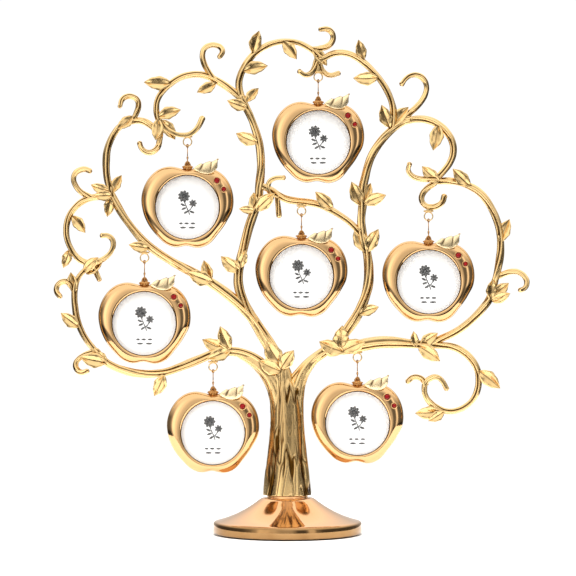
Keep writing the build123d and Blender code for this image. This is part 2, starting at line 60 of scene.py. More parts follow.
# The photograph's pixels against the tree's real height
TREE_HEIGHT = 240 * MM
TREE_HEIGHT_PIXELS = 506
MIDDLE_PIXEL = 287.5
GROUND_PIXEL = 534
PIXEL = TREE_HEIGHT / TREE_HEIGHT_PIXELS

# Turns a flat shape that faces up so that it faces the camera
FORWARDS = Matrix.Rotation(math.pi / 2, 4, "X")

# Branch widths
STOUT = 6.6 * MM
BOUGH = 5.7 * MM
MAIN = 4.6 * MM
LIMB = 4.0 * MM
SLIM = 3.4 * MM
VINE = 2.9 * MM
THIN = 2.7 * MM
TENDRIL = 2.7 * MM
TIP = 2.4 * MM
# A branch is drawn this much wider, because the grooves narrow what is seen of it
GROOVE_FILL = 1.08
# How far the tips of tendrils lean forwards
SHORT_LEAN = 2.0 * MM
LONG_LEAN = 3.0 * MM
# Rounded tip of a branch: steps past its end and the width there, as shares of the end's radius and width
TIP_SHARES = ((0.35, 1.0), (0.7, 0.84), (0.95, 0.52), (1.06, 0.15))
# A limb's grooves have this share of a vine's depth; a casting's first strand twists less than its others
LIMB_RIDGE_SHARE = 0.72
FIRST_TWIST, OTHER_TWIST = 0.5, 0.8

# Patina, from 0 in the deepest groove to 1 where it is worn bright
WASHED_TONE, BRIGHT_TONE = 0.08, 0.66
# The third of these tones darkens the ring round the window to a painted shadow of the gap at the window's rim
LEAF_TONE, PLAIN_TONE, SHADOW_RING_TONE, BASE_TONE = 0.6, 0.6, 0.05, 0.4
# Darkening round each leaf on the branch beneath it: mostly painted shadow of the gap under the leaf, partly
# the wash left in that recess; how far it reaches and how dark it is
LEAF_SHADE_REACH = 0.9 * MM
LEAF_SHADE_TONE = 0.6

# Trunk and the stems that are fused with it
TRUNK_RIDGE_DEPTH, TRUNK_TWIST = 0.06, 0.12
STEM_RIDGES, STEM_RIDGE_DEPTH, STEM_TWIST = 5, 0.12, 0.3
FUSE_GRAIN, SOFTEN_PASSES = 0.33 * MM, 8
# Below the first height the trunk's depth is this share of its width, and above the second it is round
FLAT_HEIGHT, ROUND_HEIGHT, FLAT_SHARE = 50 * MM, 82 * MM, 0.82
# Bark: spacing of its grooves across and along the trunk and of their breaks, their swell and depth, the
# radius that it is unrolled at, and where the coarse and the fine grooves fade out
BARK_ACROSS, BARK_ALONG, BARK_BREAKS = 4.4 * MM, 34 * MM, 13 * MM
BARK_SWELL, BARK_CUT = 0.35 * MM, 0.5 * MM
BARK_RADIUS = 7.5 * MM
BARK_TOP, BARK_FADE = 84 * MM, 16 * MM
FINE_TOP, FINE_FADE, FINE_SHARE = 62 * MM, 20 * MM, 0.35

RING_PIXELS = [
    (187.5, 141.8), (144.5, 257.8), (318.2, 77.0), (301.5, 211.0),
    (428.5, 216.3), (213.1, 367.0), (357.4, 357.5),
]
LUG_PIXELS = [
    (187.5, 135.0), (144.5, 243.5), (318.2, 56.0), (301.5, 201.5),
    (428.5, 207.0), (213.1, 354.0), (357.4, 347.0),
]
# Crossbar over each ring and the lug above it, in width, depth and height
BAR_SIZE = (4.6 * MM, 1.6 * MM, 0.9 * MM)
LUG_WIDTH, LUG_DEPTH, LUG_LEAST_HEIGHT = 1.9 * MM, 1.5 * MM, 0.8 * MM
BAR_RISE, LUG_ROUNDING = 0.45 * MM, 0.3 * MM

# Leaves' lean and roll in degrees, in turn
LEAF_LEANS, LEAF_ROLLS = (6, -5, 9, -8), (12, -10, 8, -14)
# A leaf's base stands this share as far forward as its branch, and its tip clears the branch it crosses
LEAF_ROOT_SHARE, LEAF_CLEARANCE = 0.95, 0.2 * MM
# Where broad leaves sit on stout forks, in pixels, and how far they are lifted and widened there
FORK_PIXELS, FORK_REACH = ((281, 369), (342, 350)), 8
FORK_LIFT, FORK_WIDTH = 1.3 * MM, 1.2

# Centre lines of the branches: each casting has strands of (pixels, widths, lean of the tip),
# leaves of (base, tip), and the numbers of its rings
CASTINGS = {
    "left_lower_limb": {
        "strands": [
            ([(283, 398), (275, 379), (265, 365), (255, 358), (243, 353), (232, 351), (222, 352),
              (212, 354), (200, 359), (190, 363), (180, 367), (168, 372), (155, 374), (140, 374),
              (125, 371), (112, 366), (104, 361), (97, 352)], (MAIN, LIMB, SLIM), 0),
        ],
        "leaves": [
            ((107, 362), (80, 357)), ((164, 374), (154, 396)), ((230, 350), (220, 326)),
            ((226, 350), (202, 339)), ((231, 349), (207, 359)), ((98, 352), (107, 362)),
        ],
        "rings": [5],
    },
    "left_outer_vine": {
        "strands": [
            ([(101, 357), (92, 347), (87, 341), (81, 331), (77, 320), (75, 308), (74, 297), (75, 287),
              (77, 279), (82, 272), (88, 268), (95, 263)], (VINE, THIN), 0),
            ([(74, 291), (70, 282), (64, 281), (59, 283), (56, 288), (57, 293),
              (60, 296)], (TENDRIL, TIP), SHORT_LEAN),
            ([(96, 350), (90, 353), (84, 355), (78, 359), (75, 364), (77, 370), (82, 373),
              (87, 371)], (TENDRIL, TIP), LONG_LEAN),
        ],
        "leaves": [((80, 327), (61, 313)), ((75, 292), (71, 272))],
    },
    "left_loop_vine": {
        "strands": [
            ([(112, 195), (100, 197), (90, 197.5), (82, 201), (75, 207), (70, 214), (67, 222), (66, 231),
              (67, 240), (71, 249), (76, 257), (83, 262), (91, 264), (100, 261), (107, 257), (112, 251),
              (114, 244), (112, 238), (107, 235), (103, 235.5)], (VINE, THIN, TENDRIL), 0),
            ([(93, 198), (88, 196), (80, 192), (75, 185), (73, 179), (75, 173), (80, 170), (86, 169),
              (90, 171)], (TENDRIL, TIP), LONG_LEAN),
            ([(92, 266), (95, 270), (97, 275), (99, 279)], (TENDRIL, TIP), 0),
        ],
        "leaves": [
            ((72, 216), (86, 233)), ((69, 250), (63, 268)), ((84, 271), (99, 257)), ((86, 274), (103, 262)),
        ],
    },
    "left_diagonal_limb": {
        "strands": [
            ([(288, 394), (286, 374), (277, 357), (270, 346), (263, 335), (257, 325), (250, 315),
              (243, 308), (235, 300), (225, 292), (215, 285), (207, 280), (200, 276), (190, 271),
              (180, 266), (168, 259), (155, 251), (145, 243), (137, 234), (129, 224), (122, 214),
              (117, 205), (112, 195)], (STOUT, MAIN, LIMB, SLIM), 0),
        ],
        "leaves": [
            ((150, 248), (129, 245)), ((211, 281), (204, 260)), ((213, 282), (187, 272)),
            ((112, 193), (122, 175)), ((110, 192), (91, 185)), ((110, 197), (107, 217)),
            ((113, 195), (93, 196)), ((280.5, 371), (259, 360)), ((281, 369), (293.5, 350)),
            ((281, 365), (267, 341)),
        ],
        "rings": [1],
    },
    "left_upper_vine": {
        "strands": [
            ([(113, 199), (109, 185), (107, 178), (106, 170), (106, 160), (107, 150), (110, 141),
              (115, 132), (119, 127), (125, 124), (131, 121.5), (138, 120), (145, 121.5), (150, 124.5),
              (156, 130)], (SLIM, VINE), 0),
            ([(132, 122), (137, 112), (139, 106), (138, 100), (134, 97), (128, 96), (122, 99),
              (120.5, 106)], (TENDRIL, TIP), LONG_LEAN),
        ],
        "leaves": [((133, 116), (117, 130))],
    },
    "left_centre_limb": {
        "strands": [
            ([(256, 323), (249, 313), (243, 301), (238, 285), (238, 275), (240, 262), (243, 250),
              (246, 238), (249, 227), (252, 218), (255, 210), (259, 200), (259, 190), (260, 180),
              (261, 170), (261, 160), (260, 148), (258, 138), (254, 125), (250, 115), (245, 106),
              (242, 98)], (MAIN, LIMB, SLIM), 0),
        ],
        "leaves": [
            ((240, 268), (246, 250)), ((240, 272), (221, 256)), ((255, 210), (239, 209)),
            ((255, 212), (254, 192)), ((256, 211), (275, 193)), ((258, 143), (236, 133)),
            ((248, 108), (227, 101)), ((246, 102), (259, 88)),
        ],
    },
    "top_left_vine": {
        "strands": [
            ([(244, 101), (235, 93), (226, 86), (216, 80), (208, 76), (200, 74), (190, 74.5), (180, 77),
              (170, 83.5), (162, 91.5), (157, 100), (156, 108), (157, 115), (159, 121), (165, 128),
              (174, 134), (184, 135.5), (190, 134.5), (195, 131), (199, 126),
              (202, 119)], (SLIM, VINE, THIN, TENDRIL), 0),
            ([(215, 80), (207, 70), (203, 62), (202, 54), (204, 48), (210, 45), (216, 45), (222, 48),
              (223, 53), (220, 57)], (TENDRIL, TIP), LONG_LEAN),
            ([(159, 118), (161, 130), (159, 143)], (TENDRIL, TENDRIL), 0),
            ([(160, 138), (159, 146), (155, 151), (150, 153), (145, 152), (141, 148),
              (140, 144)], (TENDRIL, TIP), SHORT_LEAN),
        ],
        "leaves": [
            ((171, 83), (144, 83)), ((158, 117), (181, 110)), ((158, 119), (156, 141)),
            ((161, 120), (175, 140)), ((216, 83), (197, 93)),
        ],
        "rings": [0],
    },
    "top_centre_vine": {
        "strands": [
            ([(242, 99), (238, 85), (240, 76), (244, 67), (250, 58), (257, 51), (265, 46), (275, 42),
              (287, 41), (298, 42), (306, 46), (313, 50), (321, 57)], (SLIM, VINE, THIN), 0),
            ([(312, 49), (320, 48.5), (327, 47), (332, 43), (334, 37), (331, 31), (326, 29),
              (321, 30)], (TENDRIL, TIP), LONG_LEAN),
            ([(318, 56), (316, 62), (315, 68), (311, 74), (305, 76),
              (300, 72)], (TENDRIL, TIP), SHORT_LEAN),
            ([(319, 58), (320, 66), (324, 73), (330, 76), (338, 73)], (TENDRIL, TIP), -SHORT_LEAN),
        ],
        "leaves": [
            ((253, 54), (259, 31)), ((243, 71), (268, 66)), ((283, 42), (297, 60)), ((313, 50), (327, 66)),
        ],
        "rings": [2],
    },
    "top_right_vine": {
        "strands": [
            ([(318, 62), (325, 57.5), (331, 54), (337, 52.5), (345, 52.5), (355, 56), (365, 63), (374, 72),
              (382, 82), (388, 92), (392, 102), (394, 112), (393, 128)], (THIN, VINE, SLIM), 0),
        ],
        "leaves": [
            ((364, 60), (358, 40)), ((378, 78), (353, 78)), ((390, 128), (381, 105)),
            ((391, 127), (409, 107)),
        ],
    },
    "centre_arch": {
        "strands": [
            ([(262, 186), (272, 190), (278, 195), (285, 199), (295, 201), (307, 202), (318, 204),
              (330, 209), (340, 215), (350, 222), (357, 229), (363, 237)], (SLIM, VINE), 0),
            ([(278, 196), (273, 195), (268, 190), (268, 183), (273, 178),
              (283, 178)], (TENDRIL, TIP), SHORT_LEAN),
            ([(277, 196), (278, 205), (279, 215)], (TENDRIL, TIP), 0),
        ],
        "leaves": [((333, 209), (315, 192))],
        "rings": [3],
    },
    "right_centre_limb": {
        "strands": [
            ([(289, 398), (292, 381), (303, 368), (312, 360), (322, 353), (332, 347), (340, 340),
              (345, 333), (351, 325), (357, 316), (362, 306), (366, 295), (369, 283), (369, 270),
              (368, 258), (366, 248), (363, 240), (362, 230), (361, 220), (362, 210), (363, 203),
              (362, 190), (365, 178), (368, 165), (373, 152), (380, 142), (388, 133), (397, 125),
              (408, 119.5)], (MAIN, MAIN, LIMB, SLIM), 0),
            ([(404, 122), (409, 113), (416, 108), (422, 101), (426, 93), (427, 86), (424, 79), (418, 75),
              (411, 75), (405, 79), (402, 84)], (TENDRIL, TIP), LONG_LEAN),
        ],
        "leaves": [
            ((362, 206), (351, 182)), ((363, 205), (371, 183)), ((364, 204), (386, 195)),
            ((366, 252), (356, 226)), ((367, 252), (378, 229)), ((359, 314), (379, 307)),
            ((341, 350), (342, 325)), ((343, 352), (319, 341)), ((343, 351), (365, 341)),
        ],
    },
    "right_outer_vine": {
        "strands": [
            ([(404, 121.5), (418, 118), (430, 120), (440, 125), (448, 133), (453, 142), (454, 152),
              (451, 162), (445, 170), (437, 178)], (SLIM, VINE), 0),
            ([(436, 182), (440, 181), (450, 180.5), (460, 182), (470, 186), (480, 192), (486, 199),
              (492, 209), (497, 220), (500, 232), (501, 245), (500, 258), (498, 270), (495, 280),
              (490, 300), (482, 309), (473, 319), (463, 327), (452, 334), (440, 339),
              (428, 345)], (VINE, SLIM, SLIM), 0),
            ([(438, 180), (435, 183), (427, 188), (422, 194), (421, 201), (425, 206), (431, 207.5),
              (438, 206), (443, 202), (444, 197)], (TENDRIL, TENDRIL), 0),
            ([(441, 178), (434, 179), (426, 179.5), (418, 179), (411, 176), (407, 170),
              (409, 165)], (TENDRIL, TIP), LONG_LEAN),
            ([(497, 277), (505, 273), (512, 271), (520, 272), (526, 278), (527, 284), (524, 289),
              (520, 290)], (TENDRIL, TIP), LONG_LEAN),
        ],
        "leaves": [
            ((438, 125), (433, 151)), ((439, 182), (422, 166)), ((470, 186), (452, 169)),
            ((500, 242), (510, 219)), ((491, 300), (492, 279)), ((491, 300), (509, 283)),
            ((492, 302), (510, 293)),
        ],
        "rings": [4],
    },
    "right_lower_limb": {
        "strands": [
            ([(334, 349), (344, 350), (355, 347), (365, 344), (380, 342), (395, 342), (408, 343.5),
              (428, 345)], (MAIN, BOUGH, BOUGH, SLIM), 0),
        ],
        "leaves": [((416, 347), (413, 331)), ((420, 347), (438, 333)), ((418, 346), (440, 361))],
        "rings": [6],
    },
    "right_scroll": {
        "strands": [
            ([(428, 345), (440, 345), (452, 346), (463, 351), (472, 359), (478, 369), (479, 380),
              (478, 390), (474, 399), (467, 406), (457, 411), (447, 412), (438, 409), (430, 403),
              (425, 396), (424, 388), (425, 382), (430, 378), (437, 376), (443, 381),
              (446, 388)], (SLIM, VINE, THIN, TENDRIL), 0),
            ([(426, 386), (424, 380), (418, 376.5), (412, 377), (408, 381)], (TENDRIL, TIP), SHORT_LEAN),
        ],
        "leaves": [((478, 371), (500, 388)), ((441, 411), (415, 413)), ((444, 411), (428, 421))],
    },
}

# Trunk: (height pixel, middle pixel, half width in pixels) from the foot up, and the stems
# that run on into the branches
TRUNK_PIXELS = [
    (497, 287, 21), (480, 287.3, 19.5), (455, 287.5, 16.5), (430, 287.6, 14.8), (410, 287.3, 13.8),
    (396, 286.5, 12.5), (387, 285, 10.5), (380, 283.5, 8), (374, 282, 4.5),
]
TRUNK_STEMS = [
    ([(277, 498), (277, 480), (278.5, 455), (279.5, 430), (279, 410), (277.5, 395), (272.5, 381),
      (262, 367.5), (250, 359), (238, 354)],
     [width * MM for width in (12.6, 11.2, 9.4, 8.4, 7.8, 7.6, 7, 5.8, 4.4, 2.8)]),
    ([(287, 498), (287, 480), (287, 455), (287, 430), (286.5, 410), (286, 394), (283.5, 379), (278.5, 364),
      (271.5, 349), (262, 334), (254, 321)],
     [width * MM for width in (15.5, 14, 12.4, 11.2, 10.4, 9.4, 8, 6.8, 5.8, 4.6, 3.4)]),
    ([(297.5, 498), (298, 480), (297, 455), (295, 430), (295, 410), (295.8, 395), (299, 380),
      (306.5, 366.5), (317, 356), (329, 348)],
     [width * MM for width in (12.8, 11.4, 9.4, 8.4, 7.8, 7.4, 6.6, 5.6, 4.3, 2.8)]),
]

# Foot, in millimetres: its bore, the recess for the felt, the underside's step in from its radius, the edge
# as (step from its radius, height), and the slope up to the neck as (radius, height)
FOOT_BORE, FOOT_RECESS_TOP, FOOT_FELT, FOOT_UNDERCUT = 5.6, 1.5, 33.5, 0.9
FOOT_EDGE = [(-0.25, 0.75), (0.0, 1.4), (0.0, 5.0), (-0.3, 5.75), (-0.9, 6.15)]
FOOT_SLOPE = [
    (33.5, 6.45), (32, 6.85), (29.6, 7.6), (27.3, 8.45), (24.9, 9.45), (22.5, 10.6), (20.2, 11.85),
    (17.8, 13.3), (15.4, 14.95), (13.6, 16.3), (12.6, 17.0), (11.8, 17.3), (9.6, 17.45), (9.6, 17.9),
]
FOOT_NECK, FOOT_STEPS = 9.3, 144
# The darker brown band on its edge ends at this height and fades over this much
DARK_EDGE_TOP, DARK_EDGE_FADE = 5.6 * MM, 0.7 * MM

# Outline of the apple round the middle of its window, in pixels to the right and up
APPLE_OUTLINE_PIXELS = [
    (0, 37.5), (11, 40), (24, 39), (34, 34), (42, 24), (46, 10), (45, -3), (40, -13), (31, -26), (21, -37),
    (11, -40.5), (-1, -38.5), (-12, -40), (-21, -37), (-31, -28), (-40, -16), (-45, -3), (-46, 12),
    (-39, 29), (-29, 38), (-18, 41), (-8, 39.5),
]
APPLE_WIDTH, APPLE_WIDTH_PIXELS = 43.6 * MM, 92
APPLE_PIXEL = APPLE_WIDTH / APPLE_WIDTH_PIXELS
# Height of the ring above the middle of the window, and above the bail
APPLE_DROP, BAIL_DROP = 31.1 * MM, 10.3 * MM
APPLE_STEPS = 128
APPLE_NUMBERS = range(1, 8)
# Its leaf's lower edge and notched upper edge, point by point, and where the leaf lies
LEAF_LOWER_PIXELS = [
    (6.2, 38.2), (9.2, 36.0), (12.6, 34.2), (16.2, 33.2), (20, 32.8), (23.8, 33.4), (27.4, 35.6),
    (30.2, 39.6), (30.6, 47.8),
]
LEAF_UPPER_PIXELS = [
    (6.2, 38.6), (9.4, 41.4), (13.4, 43.8), (15.6, 43.2), (18.8, 44.8), (22.4, 46.0), (24.0, 45.2),
    (27.4, 46.6), (31.0, 48.8),
]
LEAF_DEPTH, LEAF_SHEET = 3.0 * MM, 0.5 * MM
BIG_GEM_PIXELS = (29.5, 26.5)
SMALL_GEM_PIXELS = (36.5, 17.8)
# Rim round a stone: its width, its depth, and steps of (share of its radius, millimetres back)
BEZEL_WIDTH, BEZEL_DEPTH = 0.42 * MM, 1.2 * MM
BEZEL_STEPS = ((1.0, -2.1), (0.94, -0.25), (0.8, -0.02), (0.74, 0.15), (0.74, 1.2))
STONE_DEPTH = 3.35 * MM
# Stone's table, height and facets, as shares of its radius
STONE_SHARES = (0.62, 0.55, 0.16)
# Dark ring round the window: a painted shadow of the gap between the window's rim and the card
SHADOW_RING_WIRE, SHADOW_RING_GAP, SHADOW_RING_DEPTH = 0.36 * MM, 0.14 * MM, 2.86 * MM
# Bail's wire and its loop, in millimetres to the right and up
BAIL_WIRE = 0.72 * MM
BAIL_LOOP = [(-2.0, -2.6), (-1.5, -1.7), (-0.98, -0.5), (-0.84, 0.15), (-0.45, 0.7), (0, 0.86), (0.45, 0.7),
             (0.84, 0.15), (0.98, -0.5), (1.5, -1.7), (2.0, -2.6)]
# Knob under it: half sizes and drop in millimetres, and a power, from 1 for a sharp diamond to 2 for a ball
KNOB_SIZE, KNOB_DROP, KNOB_POWER = Vector((2.8, 1.3, 1.15)), 1.65, 1.4
# Beads on the knob: place and radius in millimetres
KNOB_BEADS = (
    (-1.0, 0, -1.25, 0.65), (1.0, 0, -1.25, 0.65), (-0.6, -0.45, -1.9, 0.75), (0.6, -0.45, -1.9, 0.75),
    (-1.15, 0, -2.3, 0.85), (1.15, 0, -2.3, 0.85), (0, 0, -2.55, 1.1), (0, 1.75, 0.2, 0.75),
    (-0.75, 1.75, -0.5, 0.8), (0.75, 1.75, -0.5, 0.8),
)

# Wire links: the eyes' radius, wire and turns in degrees, and the stem between them
EYE_RADIUS, EYE_WIRE, UPPER_TURN, LOWER_TURN = 0.72 * MM, 0.52 * MM, 55, 90
STEM_FOOT, STEM_HEAD = 0.24 * MM, 0.2 * MM
# Knots on the stem: height above the lower eye and radius in millimetres, and how tall each is
LINK_KNOTS = ((1.35, 0.5, 1.5), (0.75, 0.36, 1.2))
TOP_KNOT = (0.35, 0.36, 1.3)

# Photo card and the ink on it
CARD_RADIUS, CARD_SHEET, CARD_BACK, CARD_EDGE = 15.9 * MM, 0.22 * MM, 0.03 * MM, 0.05 * MM
INK_DEPTH, INK_SHEET = 0.095 * MM, 0.015 * MM
# The print, in millimetres from the card's middle: blooms of (right, up, size, petals), stems through points,
# leaves of (right, up, angle in degrees), and rules of (height, dashes of (right, length))
BLOOMS = ((-1.7, 5.2, 2.7, 9), (2.6, 1.9, 1.8, 7))
STEMS = (((-1.5, 3.0), (-1.0, 1.4), (-0.3, -0.2), (0.5, -1.8), (1.0, -3.6)),
         ((2.3, 0.6), (1.6, -0.6), (0.6, -1.8)))
SPRIG_LEAVES = ((-2.2, 1.2, 155), (-1.7, -0.6, 200), (-0.7, -2.3, 210), (2.2, -2.2, -20))
RULES = ((-7.6, ((-3.1, 1.8), (-0.4, 2.2), (2.6, 2.3))), (-9.6, ((-2.1, 3.0), (2.1, 3.2))))
STEM_WIDTH, LEAF_SIZE, RULE_WIDTH = 0.55, (2.5, 1.05), 0.95

# Brightness of the studio's walls by bearing from the camera's side, in degrees to the right
WALLS = [
    (-180, 0.5), (-150, 0.36), (-128, 0.12), (-105, 0.1), (-74, 0.13), (-62, 0.26), (-51, 0.65), (-44, 1.3),
    (-31, 1.3), (-25, 1.0), (-8, 0.6), (6, 0.55), (12, 0.34), (16, 0.13), (27, 0.12), (31, 0.34), (35, 1.0),
    (41, 1.0), (47, 0.3), (58, 0.11), (105, 0.09), (128, 0.12), (150, 0.36), (180, 0.5),
]
# Share of the walls' light by height of the direction looked in: the gap past the table's edge is dark
TABLE_EDGE = [(-1, 1.0), (-0.42, 1.0), (-0.35, 0.18), (-0.2, 0.14), (-0.11, 0.9), (0, 1.0)]
# Warmth of that light in red, green and blue
WARMTH = (1.0, 0.985, 0.96)
CEILING, CEILING_FOOT, CEILING_TOP = (0.95, 0.93, 0.9, 1.0), 0.22, 0.62
BACKDROP, STUDIO_POWER = (0.65, 0.65, 0.65, 1.0), 1.6
# Softboxes: place, size and power
SOFTBOXES = {
    "left_softbox": ((-1.1, -1.1, 0.9), 1.0, 5.5),
    "right_softbox": ((1.2, -1.0, 0.7), 1.0, 4.5),
    "top_softbox": ((0.0, -0.2, 1.6), 1.2, 26),
}
LIGHT_TARGET = Vector((0, 0, 0.12))
FLOOR_HALF = 0.24
CAMERA_DISTANCE, SENSOR_WIDTH = 1.2, 36


def linear(hex_colour):
    """sRGB hex colour as linear red, green, blue and alpha."""
    channels = [int(hex_colour[i:i + 2], 16) / 255 for i in (0, 2, 4)]
    return tuple(c / 12.92 if c <= 0.04045 else ((c + 0.055) / 1.055) ** 2.4 for c in channels) + (1.0,)


def size_setting(name, description, default):
    """Length that a user can change."""
    return FloatProperty(
        name=name, description=description, default=default, subtype="DISTANCE", unit="LENGTH")


def share_setting(name, description, default):
    """Share of another size that a user can change."""
    return FloatProperty(name=name, description=description, default=default, subtype="FACTOR")


def ridge_setting(name, description, default, least):
    """Number of ridges that a user can change."""
    return IntProperty(name=name, description=description, default=default, min=least)


def colour_setting(name, description, hex_colour):
    """Colour that a user can change."""
    return FloatVectorProperty(
        name=name, description=description, default=linear(hex_colour), size=4, subtype="COLOR")


class BranchSettings(PropertyGroup):
    """Sizes of the branches and their leaves."""

    ridges: ridge_setting("Vine ridges", "Ridges round a thin branch", 4, 3)
    limb_ridges: ridge_setting("Limb ridges", "Ridges round a stout branch", 6, 3)
    trunk_ridges: ridge_setting("Trunk ridges", "Ridges round the trunk", 7, 5)
    ridge_depth: share_setting("Ridge depth", "Depth of the bark's grooves as a share of the radius", 0.34)
    leaf_width: share_setting("Leaf width", "Width of a leaf as a share of its length", 0.54)
    leaf_swell: share_setting("Leaf swell", "Height of each half of a leaf as a share of its length", 0.095)
    leaf_thickness: share_setting("Leaf thickness", "Thickness of a leaf as a share of its length", 0.1)
    ring_radius: size_setting("Ring radius", "Middle radius of a hanging ring", 2.0 * MM)
    ring_wire: size_setting("Ring wire", "Thickness of a hanging ring", 0.58 * MM)


class AppleSettings(PropertyGroup):
    """Sizes of an apple frame."""

    front: size_setting("Front", "How far the apple's face stands before the middle plane", 3.3 * MM)
    back: size_setting("Back", "How far the apple's back lies behind the middle plane", 2.6 * MM)
    window: size_setting("Window", "Radius of the window opening", 15.0 * MM)
    rim: size_setting("Rim", "Radius where the apple's face turns in to the window", 15.5 * MM)
    pocket: size_setting("Pocket", "Radius of the pocket behind the window", 16.1 * MM)
    big_gem: size_setting("Big stone", "Radius of the bigger stone", 1.5 * MM)
    small_gem: size_setting("Small stone", "Radius of the smaller stone", 1.15 * MM)


class FinishSettings(PropertyGroup):
    """Colours of the finishes."""

    gilt: colour_setting("Gilt", "Gold plating on the branches", "EDCB90")
    relief: colour_setting("Relief", "Dark tone left in the grooves", "54370F")
    apple_gilt: colour_setting("Apple gilt", "Gold plating on the apples", "DAB27F")
    leaf_gilt: colour_setting("Leaf gilt", "Paler gold plating on the apples' leaves", "F6E0B4")
    foot_gilt: colour_setting("Foot gilt", "Gold plating on the foot", "E2AF7E")
    wire: colour_setting("Wire", "Copper tone of the links", "B98A55")
    stone: colour_setting("Stone", "Red of the stones", "A00509")
    ink: colour_setting("Ink", "Grey of the print", "454545")
    card: colour_setting("Card", "White of the card", "F2F2F2")
    window: colour_setting("Window", "Tint of the clear windows", "C9CDD2")
    felt: colour_setting("Felt", "Black of the felt", "1C1B1A")
    steel: colour_setting("Steel", "Grey of the screw", "A9ABAD")
    paper: colour_setting("Paper", "White of the floor", "F6F5F3")


def add_node(tree, kind, inputs=(), **settings):
    """One shader node with its settings; inputs are values or the sockets they are linked from."""
    node = tree.nodes.new(kind)
    for name, value in settings.items():
        setattr(node, name, value)
    for socket, value in dict(inputs).items():
        if isinstance(value, bpy.types.NodeSocket):
            tree.links.new(value, node.inputs[socket])
        else:
            node.inputs[socket].default_value = value
    return node


def new_material(name, colour, metallic, roughness, others=()):
    """Material with one Principled shader; others are more of the shader's values."""
    material = bpy.data.materials.new(name)
    material.use_nodes = True
    material.diffuse_color = colour
    values = {"Base Color": colour, "Metallic": metallic, "Roughness": roughness, **dict(others)}
    for socket, value in values.items():
        shader_input(material, socket).default_value = value
    return material


def shader_input(material, socket):
    """Socket of a material's Principled shader."""
    return material.node_tree.nodes["Principled BSDF"].inputs[socket]


def waver(material, socket, size, detail, low, high):
    """Lets a colour or a roughness waver between two values in soft patches; returns the result's socket."""
    tree = material.node_tree
    spot = add_node(tree, "ShaderNodeTexCoord").outputs["Object"]
    patches = add_node(tree, "ShaderNodeTexNoise", {"Vector": spot, "Scale": 1 / size, "Detail": detail})
    if socket == "Roughness":
        mixed = add_node(tree, "ShaderNodeMapRange", {
            "Value": patches.outputs["Fac"], "To Min": low, "To Max": high})
    else:
        mixed = add_node(tree, "ShaderNodeMix", {
            "Factor": patches.outputs["Fac"], "A": low, "B": high}, data_type="RGBA")
    tree.links.new(mixed.outputs["Result"], shader_input(material, socket))
    return mixed.outputs["Result"]


def dimple(material, size, detail, strength, depth):
    """Bumps of a size and depth all over a material."""
    tree = material.node_tree
    spot = add_node(tree, "ShaderNodeTexCoord").outputs["Object"]
    bumps = add_node(tree, "ShaderNodeTexNoise", {"Vector": spot, "Scale": 1 / size, "Detail": detail})
    bump = add_node(tree, "ShaderNodeBump", {
        "Height": bumps.outputs["Fac"], "Strength": strength, "Distance": depth})
    tree.links.new(bump.outputs["Normal"], shader_input(material, "Normal"))


def cast_gilt(name, gilt, low_rough, high_rough):
    """Gold-plated zinc casting: bright ridges, and a brown tone left in the grooves by the antiquing wash."""
    material = new_material(name, gilt, 1.0, high_rough)
    tree = material.node_tree
    wash = bpy.context.scene.phototree_finish.relief
    relief = add_node(tree, "ShaderNodeAttribute", attribute_name="relief").outputs["Fac"]
    depth = add_node(tree, "ShaderNodeMapRange", {
        "Value": relief, "From Min": WASHED_TONE, "From Max": BRIGHT_TONE})
    colour = add_node(tree, "ShaderNodeMix", {
        "Factor": depth.outputs["Result"], "A": wash, "B": gilt}, data_type="RGBA")
    tree.links.new(colour.outputs["Result"], shader_input(material, "Base Color"))
    waver(material, "Roughness", 4.55 * MM, 3.0, low_rough, high_rough)
    dimple(material, 2.0 * MM, 1.0, 0.04, 0.1 * MM)
    return material


def polished_gilt(name, gilt, roughness, ripple):
    """Gold plating over a buffed casting: nearly a mirror, with a faint swirl from the buffing wheel."""
    material = new_material(name, gilt, 1.0, roughness)
    dimple(material, 16.7 * MM, 1.0, ripple, 0.2 * MM)
    waver(material, "Roughness", 2.5 * MM, 2.0, roughness * 0.7, roughness * 1.4)
    return material


def dark_edged_gilt(name, gilt, roughness, ripple):
    """Polished gilt foot: its edge carries a darker, wavering brown band that stops below the slope."""
    material = polished_gilt(name, gilt, roughness, ripple)
    edge = waver(material, "Base Color", 11.1 * MM, 2.0, linear("7D5A34"), linear("B59063"))
    tree = material.node_tree
    spot = add_node(tree, "ShaderNodeTexCoord").outputs["Object"]
    height = add_node(tree, "ShaderNodeSeparateXYZ", {"Vector": spot}).outputs["Z"]
    slope = add_node(tree, "ShaderNodeMapRange", {
        "Value": height, "From Min": DARK_EDGE_TOP, "From Max": DARK_EDGE_TOP + DARK_EDGE_FADE})
    colour = add_node(tree, "ShaderNodeMix", {
        "Factor": slope.outputs["Result"], "A": edge, "B": gilt}, data_type="RGBA")
    tree.links.new(colour.outputs["Result"], shader_input(material, "Base Color"))
    return material


def clear_acrylic(name, clear):
    """Cast acrylic disc: colourless and glossy."""
    return new_material(name, clear, 0.0, 0.03, {"IOR": 1.49, "Alpha": 0.02})


def coated_card(name, white):
    """Coated white photo card: smooth, with a very faint paper mottle."""
    material = new_material(name, white, 0.0, 0.45)
    waver(material, "Base Color", 1.11 * MM, 2.0, white, linear("EEEFF1"))
    return material


def printing_ink(name, grey):
    """Grey printing ink on card: matt, slightly uneven."""
    material = new_material(name, grey, 0.0, 0.6)
    waver(material, "Base Color", 0.667 * MM, 1.0, grey, linear("545454"))
    return material


def cut_stone(name, red):
    """Foiled red glass stone: deep red, bright facets."""
    material = new_material(name, red, 0.0, 0.12, {"IOR": 1.6, "Specular IOR Level": 0.22})
    waver(material, "Base Color", 1.43 * MM, 1.0, linear("60040A"), red)
    return material


def wool_felt(name, black):
    """Black wool felt: matt, with matted fibres about half a millimetre apart."""
    material = new_material(name, black, 0.0, 0.95)
    dimple(material, 0.5 * MM, 4.0, 0.5, 0.2 * MM)
    return material


